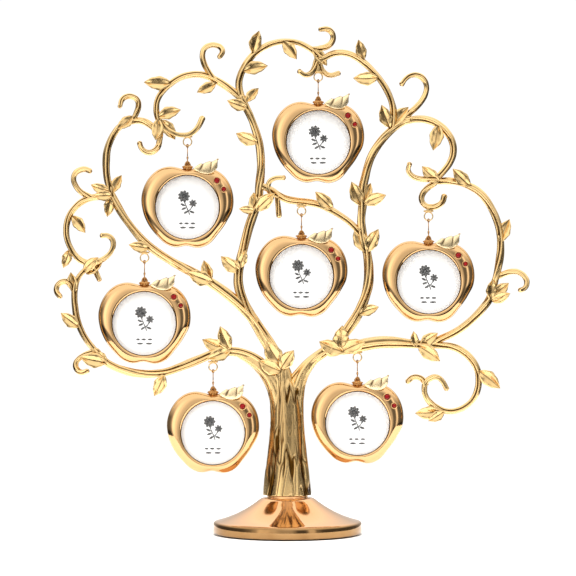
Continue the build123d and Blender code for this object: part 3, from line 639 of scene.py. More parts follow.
def zinc_steel(name, grey):
    """Zinc-plated steel screw: grey, a little mottled by the zinc's crystals."""
    material = new_material(name, grey, 1.0, 0.35)
    tree = material.node_tree
    spot = add_node(tree, "ShaderNodeTexCoord").outputs["Object"]
    spangle = add_node(tree, "ShaderNodeTexVoronoi", {"Vector": spot, "Scale": 1 / (1.11 * MM)})
    rough = add_node(tree, "ShaderNodeMapRange", {
        "Value": spangle.outputs["Distance"], "To Min": 0.28, "To Max": 0.45})
    tree.links.new(rough.outputs["Result"], shader_input(material, "Roughness"))
    return material


def pale_paper(name, white):
    """Uncoated white paper of the floor: matt."""
    return new_material(name, white, 0.0, 0.8)


# Finishes: how each is made, its colour among the settings, and its roughness or ripple
FINISHES = {
    "bark_gilt": (cast_gilt, "gilt", 0.2, 0.28),
    "cast_gilt": (cast_gilt, "gilt", 0.17, 0.26),
    "satin_gilt": (cast_gilt, "leaf_gilt", 0.24, 0.32),
    "apple_gilt": (polished_gilt, "apple_gilt", 0.08, 0.06),
    "pressed_gilt": (polished_gilt, "apple_gilt", 0.28, 0.07),
    "copper_wire": (polished_gilt, "wire", 0.24, 0.1),
    "foot_gilt": (dark_edged_gilt, "foot_gilt", 0.07, 0.03),
    "clear_acrylic": (clear_acrylic, "window"),
    "coated_card": (coated_card, "card"),
    "printing_ink": (printing_ink, "ink"),
    "cut_stone": (cut_stone, "stone"),
    "wool_felt": (wool_felt, "felt"),
    "zinc_steel": (zinc_steel, "steel"),
    "pale_paper": (pale_paper, "paper"),
}


def finish(name):
    """The finish of that name, made the first time it is asked for."""
    make, setting, *numbers = FINISHES[name]
    colour = getattr(bpy.context.scene.phototree_finish, setting)
    return bpy.data.materials.get(name) or make(name, colour, *numbers)


def clamp(value, low=0.0, high=1.0):
    """A value kept between two limits."""
    return min(high, max(low, value))


def place(point, depth=0.0):
    """Point of the photograph as a point of the tree."""
    return Vector(((point[0] - MIDDLE_PIXEL) * PIXEL, depth, (GROUND_PIXEL - point[1]) * PIXEL))


def width_at(widths, share):
    """Width at a share of the length, between the widths given."""
    step = share * (len(widths) - 1)
    low = min(int(step), len(widths) - 2)
    return widths[low] + (widths[low + 1] - widths[low]) * (step - low)


def cover(point):
    """How far the branches and stems stand before the middle plane at a pixel."""
    spot, front = Vector(point), 0.0
    runs = [(pixels, widths) for casting in CASTINGS.values() for pixels, widths, _ in casting["strands"]]
    for pixels, widths in runs + TRUNK_STEMS:
        for index in range(len(pixels) - 1):
            start, way = Vector(pixels[index]), Vector(pixels[index + 1]) - Vector(pixels[index])
            along = clamp((spot - start).dot(way) / way.length_squared)
            away = (spot - start - way * along).length * PIXEL
            half = width_at(widths, (index + along) / (len(pixels) - 1)) / 2
            if away < half:
                front = max(front, math.sqrt(half ** 2 - away ** 2))
    return front


def leaf_depths(base, tip):
    """How far forward a leaf's base and tip go, so that no branch hides it."""
    at_base = cover(base) * LEAF_ROOT_SHARE
    at_tip = max(cover(tip) + LEAF_CLEARANCE, cover(base) * 0.5)
    between = [cover(Vector(base).lerp(Vector(tip), along)) - at_base * (1 - along) - at_tip * along
               for along in (0.25, 0.5, 0.75)]
    rise = max(0.0, *between)
    return at_base + rise * 0.5, at_tip + rise


def show(name, data):
    """Object of that name in the scene."""
    thing = bpy.data.objects.new(name, data)
    bpy.context.scene.collection.objects.link(thing)
    return thing


def mesh_of(bm, name):
    """Mesh of a finished bmesh."""
    mesh = bpy.data.meshes.new(name)
    bm.to_mesh(mesh)
    bm.free()
    return mesh


def mesh_from(helper):
    """Mesh of a helper object as its modifiers or its section show it; the helper goes."""
    bpy.context.view_layer.update()
    mesh = bpy.data.meshes.new_from_object(helper.evaluated_get(bpy.context.evaluated_depsgraph_get()))
    store = bpy.data.curves if helper.type == "CURVE" else bpy.data.meshes
    data = helper.data
    bpy.data.objects.remove(helper)
    store.remove(data)
    return mesh


def add_piece(bm, name, body, material, replaced=(), smooth=True):
    """Turns a bmesh into a shown piece that rides on a body."""
    for face in bm.faces:
        face.smooth = smooth
    mesh = mesh_of(bm, name)
    mesh.materials.append(material)
    piece = show(name, mesh)
    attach(piece, body)
    if replaced:
        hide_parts(*replaced)
    return piece


def join_mesh(bm, mesh, matrix):
    """Adds a transformed copy of a mesh to a bmesh."""
    copy = mesh.copy()
    copy.transform(matrix)
    bm.from_mesh(copy)
    bpy.data.meshes.remove(copy)


def edges_of(verts):
    """Edges that meet the points."""
    return list({edge for vert in verts for edge in vert.link_edges})


def add_shape(bm, create, matrix, **sizes):
    """Adds what a create operator makes at a place, and returns its points."""
    verts = create(bm, **sizes)["verts"]
    bmesh.ops.transform(bm, matrix=matrix, verts=verts)
    return verts


def bevel_edges(bm, edges, offset, segments):
    """Rounds or chamfers edges."""
    bmesh.ops.bevel(
        bm, geom=edges, offset=offset, segments=segments, profile=0.5, affect="EDGES", material=-1)


def spin_round(bm, geom, steps):
    """Spins an outline once round the Z axis."""
    bmesh.ops.spin(
        bm, geom=geom, cent=(0, 0, 0), axis=(0, 0, 1), angle=2 * math.pi, steps=steps, use_merge=True)


def extrude_ring(bm, edges):
    """Extrudes a ring of edges; returns the new points and edges."""
    grown = bmesh.ops.extrude_edge_only(bm, edges=edges)["geom"]
    return ([item for item in grown if isinstance(item, bmesh.types.BMVert)],
            [item for item in grown if isinstance(item, bmesh.types.BMEdge)])


def store_tones(bm, tones):
    """Stores the patina's tones, with slow changes along the casting."""
    layer = bm.verts.layers.float.new("relief")
    for vert, tone in zip(bm.verts, tones):
        slow = noise.noise(vert.co / (7 * MM)) * 0.08
        vert[layer] = clamp(tone + slow)


def groove_at(ridges, angle):
    """Depth of a branch's section at an angle, as a share of its deepest groove."""
    return (0.5 + 0.5 * math.cos(ridges * angle)) ** 1.15 * (0.78 + 0.22 * math.sin(2 * angle + 1))


def section_angles(ridges):
    """Angles of the points round a section with that many ridges."""
    steps = max(ridges * 10, 40)
    return [2 * math.pi * step / steps for step in range(steps)]


def section_tones(ridges):
    """Patina round a section: brown in the grooves, bright on the ridges."""
    return [1 - 1.15 * groove_at(ridges, angle) ** 1.3 for angle in section_angles(ridges)]


def ridge_profile(name, ridges, depth):
    """Closed outline of a branch's section at unit radius: broad rounded ridges between narrow grooves."""
    curve = bpy.data.curves.new(name, "CURVE")
    curve.dimensions = "3D"
    angles = section_angles(ridges)
    spline = curve.splines.new("POLY")
    spline.points.add(len(angles) - 1)
    for point, angle in zip(spline.points, angles):
        radius = 1 - depth * groove_at(ridges, angle)
        point.co = (radius * math.cos(angle), radius * math.sin(angle), 0, 1)
    spline.use_cyclic_u = True
    return show(name, curve)


def swept_curve(name, line, radii=None, tilts=None, **settings):
    """Smooth curve through points, with the section that its settings give it."""
    curve = bpy.data.curves.new(name, "CURVE")
    curve.dimensions = "3D"
    curve.use_fill_caps = True
    for setting, value in settings.items():
        setattr(curve, setting, value)
    spline = curve.splines.new("BEZIER")
    spline.bezier_points.add(len(line) - 1)
    for index, (point, co) in enumerate(zip(spline.bezier_points, line)):
        point.co = co
        point.handle_left_type = "AUTO"
        point.handle_right_type = "AUTO"
        point.radius = radii[index] if radii else 1.0
        point.tilt = tilts[index] if tilts else 0.0
    return show(name, curve)


def strand_mesh(pixels, widths, lean, profile, twist):
    """Mesh of one branch: a bevelled curve through the pixels, with a twist along it and a rounded tip."""
    last = len(pixels) - 1
    line = [place(p, -lean * (i / last) ** 2) for i, p in enumerate(pixels)]
    line[1:-1] = [(a + c) * 0.16 + b * 0.68 for a, b, c in zip(line, line[1:], line[2:])]
    radii = [width_at(widths, i / last) * GROOVE_FILL / 2 for i in range(last + 1)]
    end = (line[-1] - line[-2]).normalized()
    for ahead, width in TIP_SHARES:
        line.append(line[last] + end * radii[last] * ahead)
        radii.append(radii[last] * width)
    tilts = [twist * (index * 0.16 + math.sin(index * 0.5)) for index in range(len(line))]
    return mesh_from(swept_curve(
        "strand", line, radii, tilts, bevel_mode="OBJECT", bevel_object=profile, resolution_u=6))


def weather(bm, amount, grain):
    """Moves the points a little along their normals, as a casting is never even."""
    bm.normal_update()
    for vert in bm.verts:
        vert.co += vert.normal * noise.noise(vert.co / grain) * amount


def crease_line(along):
    """How far a leaf's crease lies from its straight middle, as a share of its length."""
    return 0.03 * math.sin(along * math.pi)


def leaf_master(settings):
    """One leaf of unit length along +X with its face towards +Z: two halves rising from a sharp crease."""
    bm = bmesh.new()
    bmesh.ops.create_uvsphere(bm, u_segments=40, v_segments=28, radius=1.0)
    for vert in bm.verts:
        along = (vert.co.z + 1) / 2
        around = math.atan2(vert.co.y, vert.co.x)
        side = math.cos(around)
        reach = abs(side)
        outline = math.sin(math.pi * along ** 0.86) ** 0.9 * (1 + 0.05 * math.sin(along * 19))
        half = settings.leaf_width / 2 * outline
        rise = 1.35 * reach - 2.6 * max(0.0, reach - 0.5) ** 2
        vein = 0.008 * reach * math.sin((along * 3.4 - reach * 0.8) * 2 * math.pi)
        height = (settings.leaf_swell * rise + vein) * min(1.0, outline * 1.6)
        if vert.co.y < 0:
            height += settings.leaf_thickness * math.sin(around) * min(1.0, outline * 1.4)
        bend = 0.09 * along ** 2.2 - 0.04
        vert.co = (along, side * half + crease_line(along), height + bend)
    bmesh.ops.recalc_face_normals(bm, faces=bm.faces)
    return mesh_of(bm, "leaf_master")


def leaf_tones(mesh):
    """Tones of a leaf: patina dark in the crease and at the stalk, painted edge shade along the rim, bright on
    the blade.
    """
    tones = []
    for vert in mesh.vertices:
        along = vert.co.x
        side = abs(vert.co.y - crease_line(along))
        crease = max(0.0, 1 - side / 0.026) * (1 - 0.4 * along)
        stalk = max(0.0, 1 - along / 0.12)
        # Painted edge shade: darker where the leaf's surface turns sideways, to outline it against the branch
        rim = max(0.0, 1 - abs(vert.normal.z) * 2.2)
        tones.append(LEAF_TONE - 0.5 * crease - 0.2 * stalk - 0.4 * rim)
    return tones


def leaf_matrix(base, tip, lean_degrees, roll_degrees, width_scale):
    """Where a leaf goes: from base to tip, facing forwards, leant and rolled."""
    along = tip - base
    x = along.normalized()
    y = Vector((0, -1, 0)).cross(x).normalized()
    turn = Matrix((x, y, x.cross(y))).transposed().to_4x4()
    lean = Matrix.Rotation(math.radians(-lean_degrees), 4, "Y")
    roll = Matrix.Rotation(math.radians(roll_degrees), 4, "X")
    scale = Matrix.Diagonal((along.length, along.length * width_scale, along.length, 1))
    return Matrix.Translation(base) @ turn @ lean @ roll @ scale


def leaf_placements():
    """Name of the casting and matrix of every leaf."""
    placements = []
    for name, casting in CASTINGS.items():
        for number, (base, tip) in enumerate(casting["leaves"]):
            lean, roll = LEAF_LEANS[number % len(LEAF_LEANS)], LEAF_ROLLS[number % len(LEAF_ROLLS)]
            at_base, at_tip = leaf_depths(base, tip)
            at_fork = any((Vector(base) - Vector(fork)).length < FORK_REACH for fork in FORK_PIXELS)
            lift, width = (FORK_LIFT, FORK_WIDTH) if at_fork else (0.0, 1.0)
            placements.append((name, leaf_matrix(
                place(base, -at_base - lift), place(tip, -at_tip - lift), lean, roll, width)))
    return placements


def leaf_points(leaf, placements):
    """Search tree of the leaves' points, to find the painted shade round them."""
    tree = KDTree(len(leaf.vertices) * len(placements))
    for number, (_, matrix) in enumerate(placements):
        for index, vert in enumerate(leaf.vertices):
            tree.insert(matrix @ vert.co, number * len(leaf.vertices) + index)
    tree.balance()
    return tree


def leaf_shade(tree, spot):
    """How much painted shade of the gap under a leaf, with some wash in that recess, darkens a point, by its
    distance from the nearest leaf.
    """
    return LEAF_SHADE_TONE * max(0.0, 1 - tree.find(spot)[2] / LEAF_SHADE_REACH)


def add_ring(bm, matrix, radius, wire, steps=40):
    """Ring spun from a small circle round its own Z axis, then placed."""
    out = Matrix.Translation((radius, 0, 0)) @ FORWARDS
    before = len(bm.verts)
    start = add_shape(bm, bmesh.ops.create_circle, out, segments=12, radius=wire / 2)
    spin_round(bm, start + edges_of(start), steps)
    bm.verts.ensure_lookup_table()
    bmesh.ops.transform(bm, matrix=matrix, verts=bm.verts[before:])


def add_block(bm, centre, size):
    """Small block with rounded edges."""
    block = Matrix.Translation(centre) @ Matrix.Diagonal((*size, 1))
    made = add_shape(bm, bmesh.ops.create_cube, block, size=1.0)
    bevel_edges(bm, edges_of(made), LUG_ROUNDING, 3)


def add_lug(bm, number, settings):
    """Ring under a branch with its crossbar and lug."""
    centre, top = place(RING_PIXELS[number]), place(LUG_PIXELS[number])
    add_ring(bm, Matrix.Translation(centre) @ FORWARDS, settings.ring_radius, settings.ring_wire)
    bar = centre.z + settings.ring_radius + BAR_RISE
    lug_size = (LUG_WIDTH, LUG_DEPTH, max(top.z - bar, LUG_LEAST_HEIGHT))
    add_block(bm, (centre.x, 0, bar), BAR_SIZE)
    add_block(bm, (centre.x, 0, (bar + top.z) / 2), lug_size)


class PHOTOTREE_OT_trunk(Operator):
    """Trunk with wavy upright bark grooves that run on into the branches"""

    bl_idname = "phototree.trunk"
    bl_label = "Trunk"

    def execute(self, context):
        settings = context.scene.phototree_branches
        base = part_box("trunk")[0].z
        profile = ridge_profile("trunk_profile", settings.trunk_ridges, TRUNK_RIDGE_DEPTH)
        stem_profile = ridge_profile("stem_profile", STEM_RIDGES, STEM_RIDGE_DEPTH)
        bm = bmesh.new()
        middle = [(across, height) for height, across, _ in TRUNK_PIXELS]
        widths = [half * 2 * PIXEL for _, _, half in TRUNK_PIXELS]
        bm.from_mesh(strand_mesh(middle, widths, 0, profile, TRUNK_TWIST))
        for pixels, stem_widths in TRUNK_STEMS:
            bm.from_mesh(strand_mesh(pixels, stem_widths, 0, stem_profile, STEM_TWIST))
        for helper in (profile, stem_profile):
            bpy.data.objects.remove(helper)
        for vert in bm.verts:
            rise = clamp((vert.co.z - FLAT_HEIGHT) / (ROUND_HEIGHT - FLAT_HEIGHT))
            vert.co.y *= FLAT_SHARE + (1 - FLAT_SHARE) * rise * rise * (3 - 2 * rise)
        bm = self.fused(bm)
        cut = bmesh.ops.bisect_plane(
            bm, geom=bm.verts[:] + bm.edges[:] + bm.faces[:], plane_co=(0, 0, base), plane_no=(0, 0, -1),
            clear_outer=True)
        rim = [item for item in cut["geom_cut"] if isinstance(item, bmesh.types.BMEdge)]
        bmesh.ops.edgeloop_fill(bm, edges=rim)
        self.carve_bark(bm, base, leaf_points(leaf_master(settings), leaf_placements()))
        add_piece(bm, "bark_trunk", "root", finish("bark_gilt"), ["trunk"])
        return {"FINISHED"}

    def fused(self, bm):
        """Trunk and stems as one skin, softened where they meet."""
        body = show("trunk_parts", mesh_of(bm, "trunk_parts"))
        fuse = body.modifiers.new("fuse", "REMESH")
        fuse.mode = "VOXEL"
        fuse.voxel_size = FUSE_GRAIN
        soften = body.modifiers.new("soften", "SMOOTH")
        soften.iterations = SOFTEN_PASSES
        bm = bmesh.new()
        bm.from_mesh(mesh_from(body))
        return bm

    def carve_bark(self, bm, base, tree):
        """Long wavy grooves and low swellings along the trunk, fading out into the branches."""
        bm.normal_update()
        layer = bm.verts.layers.float.new("relief")
        for vert in bm.verts:
            x, y, z = vert.co
            if z < base + 0.05 * MM:
                vert[layer] = BASE_TONE
                continue
            fade = clamp((BARK_TOP - z) / BARK_FADE)
            low = clamp((FINE_TOP - z) / FINE_FADE, FINE_SHARE)
            across, along = math.atan2(y, x) * BARK_RADIUS / BARK_ACROSS, z / BARK_ALONG
            wave = noise.noise(Vector((across, 0.0, along)))
            fine = noise.noise(Vector((across * 1.9 + 9, 4.0, along * 2.0)))
            broken = clamp(0.4 + 3.0 * noise.noise(Vector((across + 5, 7.0, z / BARK_BREAKS))))
            cut = max(0.0, 1 - abs(wave) * 9.0) * broken + 0.45 * low * max(0.0, 1 - abs(fine) * 9.0)
            vert.co += vert.normal * (wave * BARK_SWELL - cut * BARK_CUT) * fade
            # Takes off the painted shade of the gap under nearby leaves
            tone = 0.66 + (0.25 * wave - 0.8 * cut - 0.17) * fade - leaf_shade(tree, vert.co)
            vert[layer] = clamp(tone)


class PHOTOTREE_OT_branches(Operator):
    """Branches, leaves and hanging rings, one piece for each casting"""

    bl_idname = "phototree.branches"
    bl_label = "Branches"

    def execute(self, context):
        settings = context.scene.phototree_branches
        depths = {settings.ridges: settings.ridge_depth,
                  settings.limb_ridges: settings.ridge_depth * LIMB_RIDGE_SHARE}
        profiles = {ridges: ridge_profile("branch_profile", ridges, depths[ridges]) for ridges in depths}
        sections = {ridges: section_tones(ridges) for ridges in depths}
        leaf = leaf_master(settings)
        blade = leaf_tones(leaf)
        placements = leaf_placements()
        tree = leaf_points(leaf, placements)
        for name, casting in CASTINGS.items():
            bm = bmesh.new()
            tones = []
            for number, (pixels, widths, lean) in enumerate(casting["strands"]):
                ridges = settings.limb_ridges if widths[0] >= LIMB else settings.ridges
                twist = OTHER_TWIST if number else FIRST_TWIST
                mesh = strand_mesh(pixels, widths, lean, profiles[ridges], twist)
                section = sections[ridges]
                tones += [section[index % len(section)] for index in range(len(mesh.vertices))]
                bm.from_mesh(mesh)
                bpy.data.meshes.remove(mesh)
            weather(bm, amount=0.22 * MM, grain=8.0 * MM)
            # Darkens the branch round each leaf: painted shade of the gap under the leaf, with some wash in
            # that recess
            tones = [tone - leaf_shade(tree, vert.co) for tone, vert in zip(tones, bm.verts)]
            for matrix in [matrix for owner, matrix in placements if owner == name]:
                join_mesh(bm, leaf, matrix)
                tones += blade
            for ring in casting.get("rings", ()):
                add_lug(bm, ring, settings)
            tones += [PLAIN_TONE] * (len(bm.verts) - len(tones))
            store_tones(bm, tones)
            add_piece(bm, "gilt_" + name, "root", finish("cast_gilt"), [name])
        for profile in profiles.values():
            bpy.data.objects.remove(profile)
        return {"FINISHED"}


def outline_radius(angle):
    """Radius of the apple's outline at an angle, on a smooth closed curve through its points."""
    polar = sorted((math.atan2(up, right), math.hypot(right, up) * APPLE_PIXEL)
                   for right, up in APPLE_OUTLINE_PIXELS)
    total, turn = len(polar), 2 * math.pi
    for index in range(total):
        a1, r1 = polar[index]
        a2, r2 = polar[(index + 1) % total]
        a2 += turn if a2 < a1 else 0
        here = angle if angle >= polar[0][0] else angle + turn
        if a1 <= here <= a2:
            a0, r0 = polar[index - 1]
            a3, r3 = polar[(index + 2) % total]
            a0 -= turn if a0 > a1 else 0
            a3 += turn if a3 < a2 else 0
            t = (here - a1) / (a2 - a1)
            m1 = (r2 - r0) / (a2 - a0) * (a2 - a1)
            m2 = (r3 - r1) / (a3 - a1) * (a2 - a1)
            t2, t3 = t * t, t * t * t
            leaving = (2 * t3 - 3 * t2 + 1) * r1 + (t3 - 2 * t2 + t) * m1
            return leaving + (3 * t2 - 2 * t3) * r2 + (t3 - t2) * m2
    return polar[0][1]


def apple_centre(number):
    """Middle of the window of one apple."""
    return place(RING_PIXELS[number - 1]) - Vector((0, 0, APPLE_DROP))


def gem_seats(number):
    """Place in the apple's middle plane and radius of its two stones."""
    apple = bpy.context.scene.phototree_apple
    for (right, up), radius in ((BIG_GEM_PIXELS, apple.big_gem), (SMALL_GEM_PIXELS, apple.small_gem)):
        yield apple_centre(number) + Vector((right * APPLE_PIXEL, 0, up * APPLE_PIXEL)), radius


class PHOTOTREE_OT_apples(Operator):
    """Domed apple castings with leaf, bail, a dark ring of painted shadow round the window and rims round the
    stones
    """

    bl_idname = "phototree.apples"
    bl_label = "Apple castings"

    def execute(self, context):
        apple = context.scene.phototree_apple
        leaf, shell = self.leaf(), self.shell(apple)
        for number in APPLE_NUMBERS:
            node, body, centre = f"apple_{number}_shell", f"apple_frame_{number}", apple_centre(number)
            bm = bmesh.new()
            join_mesh(bm, shell, Matrix.Translation(centre))
            for seat, radius in gem_seats(number):
                self.bezel(bm, seat, radius)
            add_piece(bm, f"domed_apple_{number}", body, finish("apple_gilt"), [node])
            add_piece(self.bail(number), f"bail_{number}", body, finish("copper_wire"))
            # Dark ring round the window, a painted shadow of the gap at its rim
            bm = bmesh.new()
            seat = Matrix.Translation(centre + Vector((0, -SHADOW_RING_DEPTH, 0))) @ FORWARDS
            add_ring(bm, seat, apple.window + SHADOW_RING_GAP, SHADOW_RING_WIRE, APPLE_STEPS)
            store_tones(bm, [SHADOW_RING_TONE] * len(bm.verts))
            add_piece(bm, f"window_seat_{number}", body, finish("cast_gilt"))
            bm = bmesh.new()
            join_mesh(bm, leaf, Matrix.Translation(centre))
            add_piece(bm, f"curled_leaf_{number}", body, finish("satin_gilt"))
        return {"FINISHED"}

    def shell(self, apple):
        """Domed ring of the apple round the middle of its window, closed at the back."""
        bm = bmesh.new()
        # Depth in millimetres and share of the way from the outline in to the window's rim
        back, front = apple.back / MM, -apple.front / MM
        dome = [
            (back, 0.3), (back, 0.12), (back - 0.5, 0.03), (1.2, 0.0), (0.3, 0.0), (-0.4, 0.02), (-1.0, 0.07),
            (-1.55, 0.14), (-2.0, 0.22), (-2.4, 0.31), (-2.72, 0.41), (-2.96, 0.52), (-3.14, 0.64),
            (-3.25, 0.76), (front, 0.87), (-3.26, 0.94), (-3.1, 1.0),
        ]
        # Radius and depth in millimetres of the turn in to the window and the pocket behind it
        window, pocket = apple.window / MM, apple.pocket / MM
        turned = [
            (window + 0.14, -2.78), (window, -2.6), (window, -1.4), (pocket, -1.4), (pocket, 1.0),
            (pocket, back - 0.2), (pocket + 0.2, back),
        ]
        ring = bmesh.ops.create_circle(bm, segments=APPLE_STEPS, radius=1.0)["verts"]
        angles = sorted(math.atan2(vert.co.y, vert.co.x) for vert in ring)
        outline = [outline_radius(angle) for angle in angles]
        rows = [(depth, [radius + (apple.rim - radius) * drawn for radius in outline])
                for depth, drawn in dome]
        rows += [(depth, [radius * MM] * APPLE_STEPS) for radius, depth in turned]
        edges = bm.edges[:]
        ring = sorted(ring, key=lambda vert: math.atan2(vert.co.y, vert.co.x))
        for index, (depth, radii) in enumerate(rows):
            if index:
                ring, edges = extrude_ring(bm, edges)
                ring.sort(key=lambda vert: math.atan2(vert.co.z, vert.co.x))
            for vert, angle, radius in zip(ring, angles, radii):
                vert.co = (radius * math.cos(angle), depth * MM, radius * math.sin(angle))
        bmesh.ops.bridge_loops(bm, edges=[edge for edge in bm.edges if edge.is_boundary])
        bmesh.ops.recalc_face_normals(bm, faces=bm.faces)
        return mesh_of(bm, "apple_master")

    def leaf(self):
        """Broad leaf that curls up along the shoulder, with a crease and a notched upper edge."""
        bm = bmesh.new()
        tone = bm.verts.layers.float.new("relief")
        bmesh.ops.create_grid(bm, x_segments=48, y_segments=12, size=1.0)
        last = len(LEAF_LOWER_PIXELS) - 1
        for vert in bm.verts:
            reach = (vert.co.x + 1) / 2 * last
            side = (vert.co.y + 1) / 2
            step = min(int(reach), last - 1)
            low, high = (Vector(edge[step]).lerp(Vector(edge[step + 1]), reach - step)
                         for edge in (LEAF_LOWER_PIXELS, LEAF_UPPER_PIXELS))
            flat = low.lerp(high, side)
            wave = reach + 1.5 * (1 - side)
            lobe = abs(math.sin(math.pi * (wave if wave < 6 else 6 + (wave - 6) * 1.5) / 3)) ** 0.6
            fade = min(1.0, (last - reach) * 0.8)
            fold = min(1.0, side * 1.8) * fade
            dome = math.sin(math.pi * min(1.0, side * 0.9 + 0.1)) ** 0.6
            height = 0.6 + 1.3 * dome + 0.35 * lobe * fold + 0.8 * (reach / last) ** 3
            vert.co = (flat.x * APPLE_PIXEL, -LEAF_DEPTH - height * APPLE_PIXEL, flat.y * APPLE_PIXEL)
            slit = max(0.0, 1 - lobe * 1.3) ** 0.6 * min(1.0, side * 2.2) * fade
            # The darkening along the lower edge is a painted shadow line under the leaf
            vert[tone] = 0.85 - 0.85 * slit - 0.5 * max(0.0, 1 - side * 7)
        bmesh.ops.remove_doubles(bm, verts=bm.verts, dist=0.01 * MM)
        bmesh.ops.recalc_face_normals(bm, faces=bm.faces)
        if sum(face.normal.y for face in bm.faces) > 0:
            bmesh.ops.reverse_faces(bm, faces=bm.faces)
        bmesh.ops.solidify(bm, geom=bm.faces[:], thickness=LEAF_SHEET)
        bmesh.ops.recalc_face_normals(bm, faces=bm.faces)
        return mesh_of(bm, "apple_leaf")

    def bail(self, number):
        """Wire loop over a knobbly calyx on top of the apple."""
        bm = bmesh.new()
        top = place(RING_PIXELS[number - 1]) - Vector((0, 0, BAIL_DROP))
        loop = [top + Vector((x, 0, z)) * MM for x, z in BAIL_LOOP]
        bm.from_mesh(mesh_from(swept_curve("bail", loop, bevel_depth=BAIL_WIRE / 2, bevel_resolution=3)))
        for vert in bmesh.ops.create_icosphere(bm, subdivisions=4, radius=1.0)["verts"]:
            size = sum(abs(reach) ** KNOB_POWER for reach in vert.co) ** (-1 / KNOB_POWER)
            vert.co = top + (vert.co * size * KNOB_SIZE - Vector((0, 0, KNOB_DROP))) * MM
        for x, y, z, radius in KNOB_BEADS:
            spot = Matrix.Translation(top + Vector((x, y, z)) * MM)
            shape = Matrix.Diagonal((1.0, 0.5 if y else 1.1, 0.85, 1))
            add_shape(bm, bmesh.ops.create_icosphere, spot @ shape, subdivisions=2, radius=radius * MM)
        weather(bm, amount=0.14 * MM, grain=0.9 * MM)
        return bm

    def bezel(self, bm, seat, radius):
        """Raised rim round a stone."""
        middle = seat + Vector((0, -BEZEL_DEPTH, 0))
        facing = Matrix.Translation(middle) @ FORWARDS
        ring = add_shape(bm, bmesh.ops.create_circle, facing, segments=32, radius=radius + BEZEL_WIDTH)
        edges = edges_of(ring)
        for width, depth in BEZEL_STEPS:
            ring, edges = extrude_ring(bm, edges)
            for vert in ring:
                away = vert.co - middle
                away.y = 0
                away = away.normalized() * (radius + BEZEL_WIDTH) * width
                vert.co = Vector((middle.x + away.x, vert.co.y + depth * MM, middle.z + away.z))
        bmesh.ops.contextual_create(bm, geom=edges)


class PHOTOTREE_OT_links(Operator):
    """Wire links with an eye at each end and small knots on the stem between them"""

    bl_idname = "phototree.links"
    bl_label = "Links"

    def execute(self, context):
        for number in APPLE_NUMBERS:
            low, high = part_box(f"link_{number}")
            x, end = (low.x + high.x) / 2, EYE_RADIUS + EYE_WIRE / 2
            upper, lower = high.z - end, low.z + end
            bm = bmesh.new()
            for z, turn in ((upper, UPPER_TURN), (lower, LOWER_TURN)):
                spot = Matrix.Translation((x, 0, z)) @ Matrix.Rotation(math.radians(turn), 4, "Z") @ FORWARDS
                add_ring(bm, spot, EYE_RADIUS, EYE_WIRE)
            stem = upper - lower - 2 * EYE_RADIUS
            spot = Matrix.Translation((x, 0, (upper + lower) / 2))
            add_shape(bm, bmesh.ops.create_cone, spot, cap_ends=True, segments=16, radius1=STEM_FOOT,
                      radius2=STEM_HEAD, depth=stem)
            above, radius, tall = TOP_KNOT
            for rise, radius, tall in (*LINK_KNOTS, (stem / MM + above, radius, tall)):
                spot = Matrix.Translation((x, 0, lower + EYE_RADIUS + rise * MM))
                add_shape(bm, bmesh.ops.create_icosphere, spot @ Matrix.Diagonal((1, 1, tall, 1)),
                          subdivisions=2, radius=radius * MM)
            add_piece(bm, f"wire_link_{number}", f"hanging_link_{number}", finish("copper_wire"),
                      [f"link_{number}"])
        return {"FINISHED"}


class PHOTOTREE_OT_cards(Operator):
    """White photo cards with a small grey flower print and two dashed rules"""

    bl_idname = "phototree.cards"
    bl_label = "Photo cards"

    def execute(self, context):
        for number in APPLE_NUMBERS:
            node, body = f"apple_{number}_photo_card", f"apple_frame_{number}"
            low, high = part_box(node)
            centre = (low + high) / 2
            bm = bmesh.new()
            turn = Matrix.Translation(centre + Vector((0, CARD_BACK, 0))) @ FORWARDS
            add_shape(bm, bmesh.ops.create_cone, turn, cap_ends=True, segments=96, radius1=CARD_RADIUS,
                      radius2=CARD_RADIUS, depth=CARD_SHEET)
            rims = [edge for edge in bm.edges if len({len(face.verts) for face in edge.link_faces}) == 2]
            bevel_edges(bm, rims, CARD_EDGE, 2)
            add_piece(bm, f"white_card_{number}", body, finish("coated_card"), [node],
                      smooth=False)
            front = centre + Vector((0, -INK_DEPTH, 0))
            add_piece(self.sprig(front), f"flower_print_{number}", body, finish("printing_ink"))
        return {"FINISHED"}

    def sprig(self, front):
        """Sprig with a large and a small bloom, leaves and two dashed rules, in thin raised ink."""
        bm = bmesh.new()

        def patch(x, z, length, width, angle=0, segments=12):
            spot = (Matrix.Translation(front + Vector((x, 0, z)) * MM)
                    @ Matrix.Rotation(-math.radians(angle), 4, "Y")
                    @ Matrix.Diagonal((length / 2 * MM, 1, width / 2 * MM, 1)) @ FORWARDS)
            add_shape(bm, bmesh.ops.create_circle, spot, cap_ends=True, segments=segments, radius=1.0)

        for x, z, size, petals in BLOOMS:
            for petal in range(petals):
                angle = 360 / petals * petal
                right, up = math.cos(math.radians(angle)), math.sin(math.radians(angle))
                patch(x + size * 0.62 * right, z + size * 0.62 * up, size * 0.92, size * 0.56, angle)
            patch(x, z, size * 0.62, size * 0.62)
        for stem in STEMS:
            for (x1, z1), (x2, z2) in zip(stem, stem[1:]):
                angle = math.degrees(math.atan2(z2 - z1, x2 - x1))
                patch((x1 + x2) / 2, (z1 + z2) / 2, math.hypot(x2 - x1, z2 - z1) * 1.2, STEM_WIDTH, angle)
        for x, z, angle in SPRIG_LEAVES:
            patch(x, z, *LEAF_SIZE, angle)
        for row, dashes in RULES:
            for x, length in dashes:
                patch(x, row, length, RULE_WIDTH, segments=8)
        bmesh.ops.recalc_face_normals(bm, faces=bm.faces)
        for face in bm.faces:
            if face.normal.y > 0:
                face.normal_flip()
        bmesh.ops.solidify(bm, geom=bm.faces[:], thickness=INK_SHEET)
        return bm


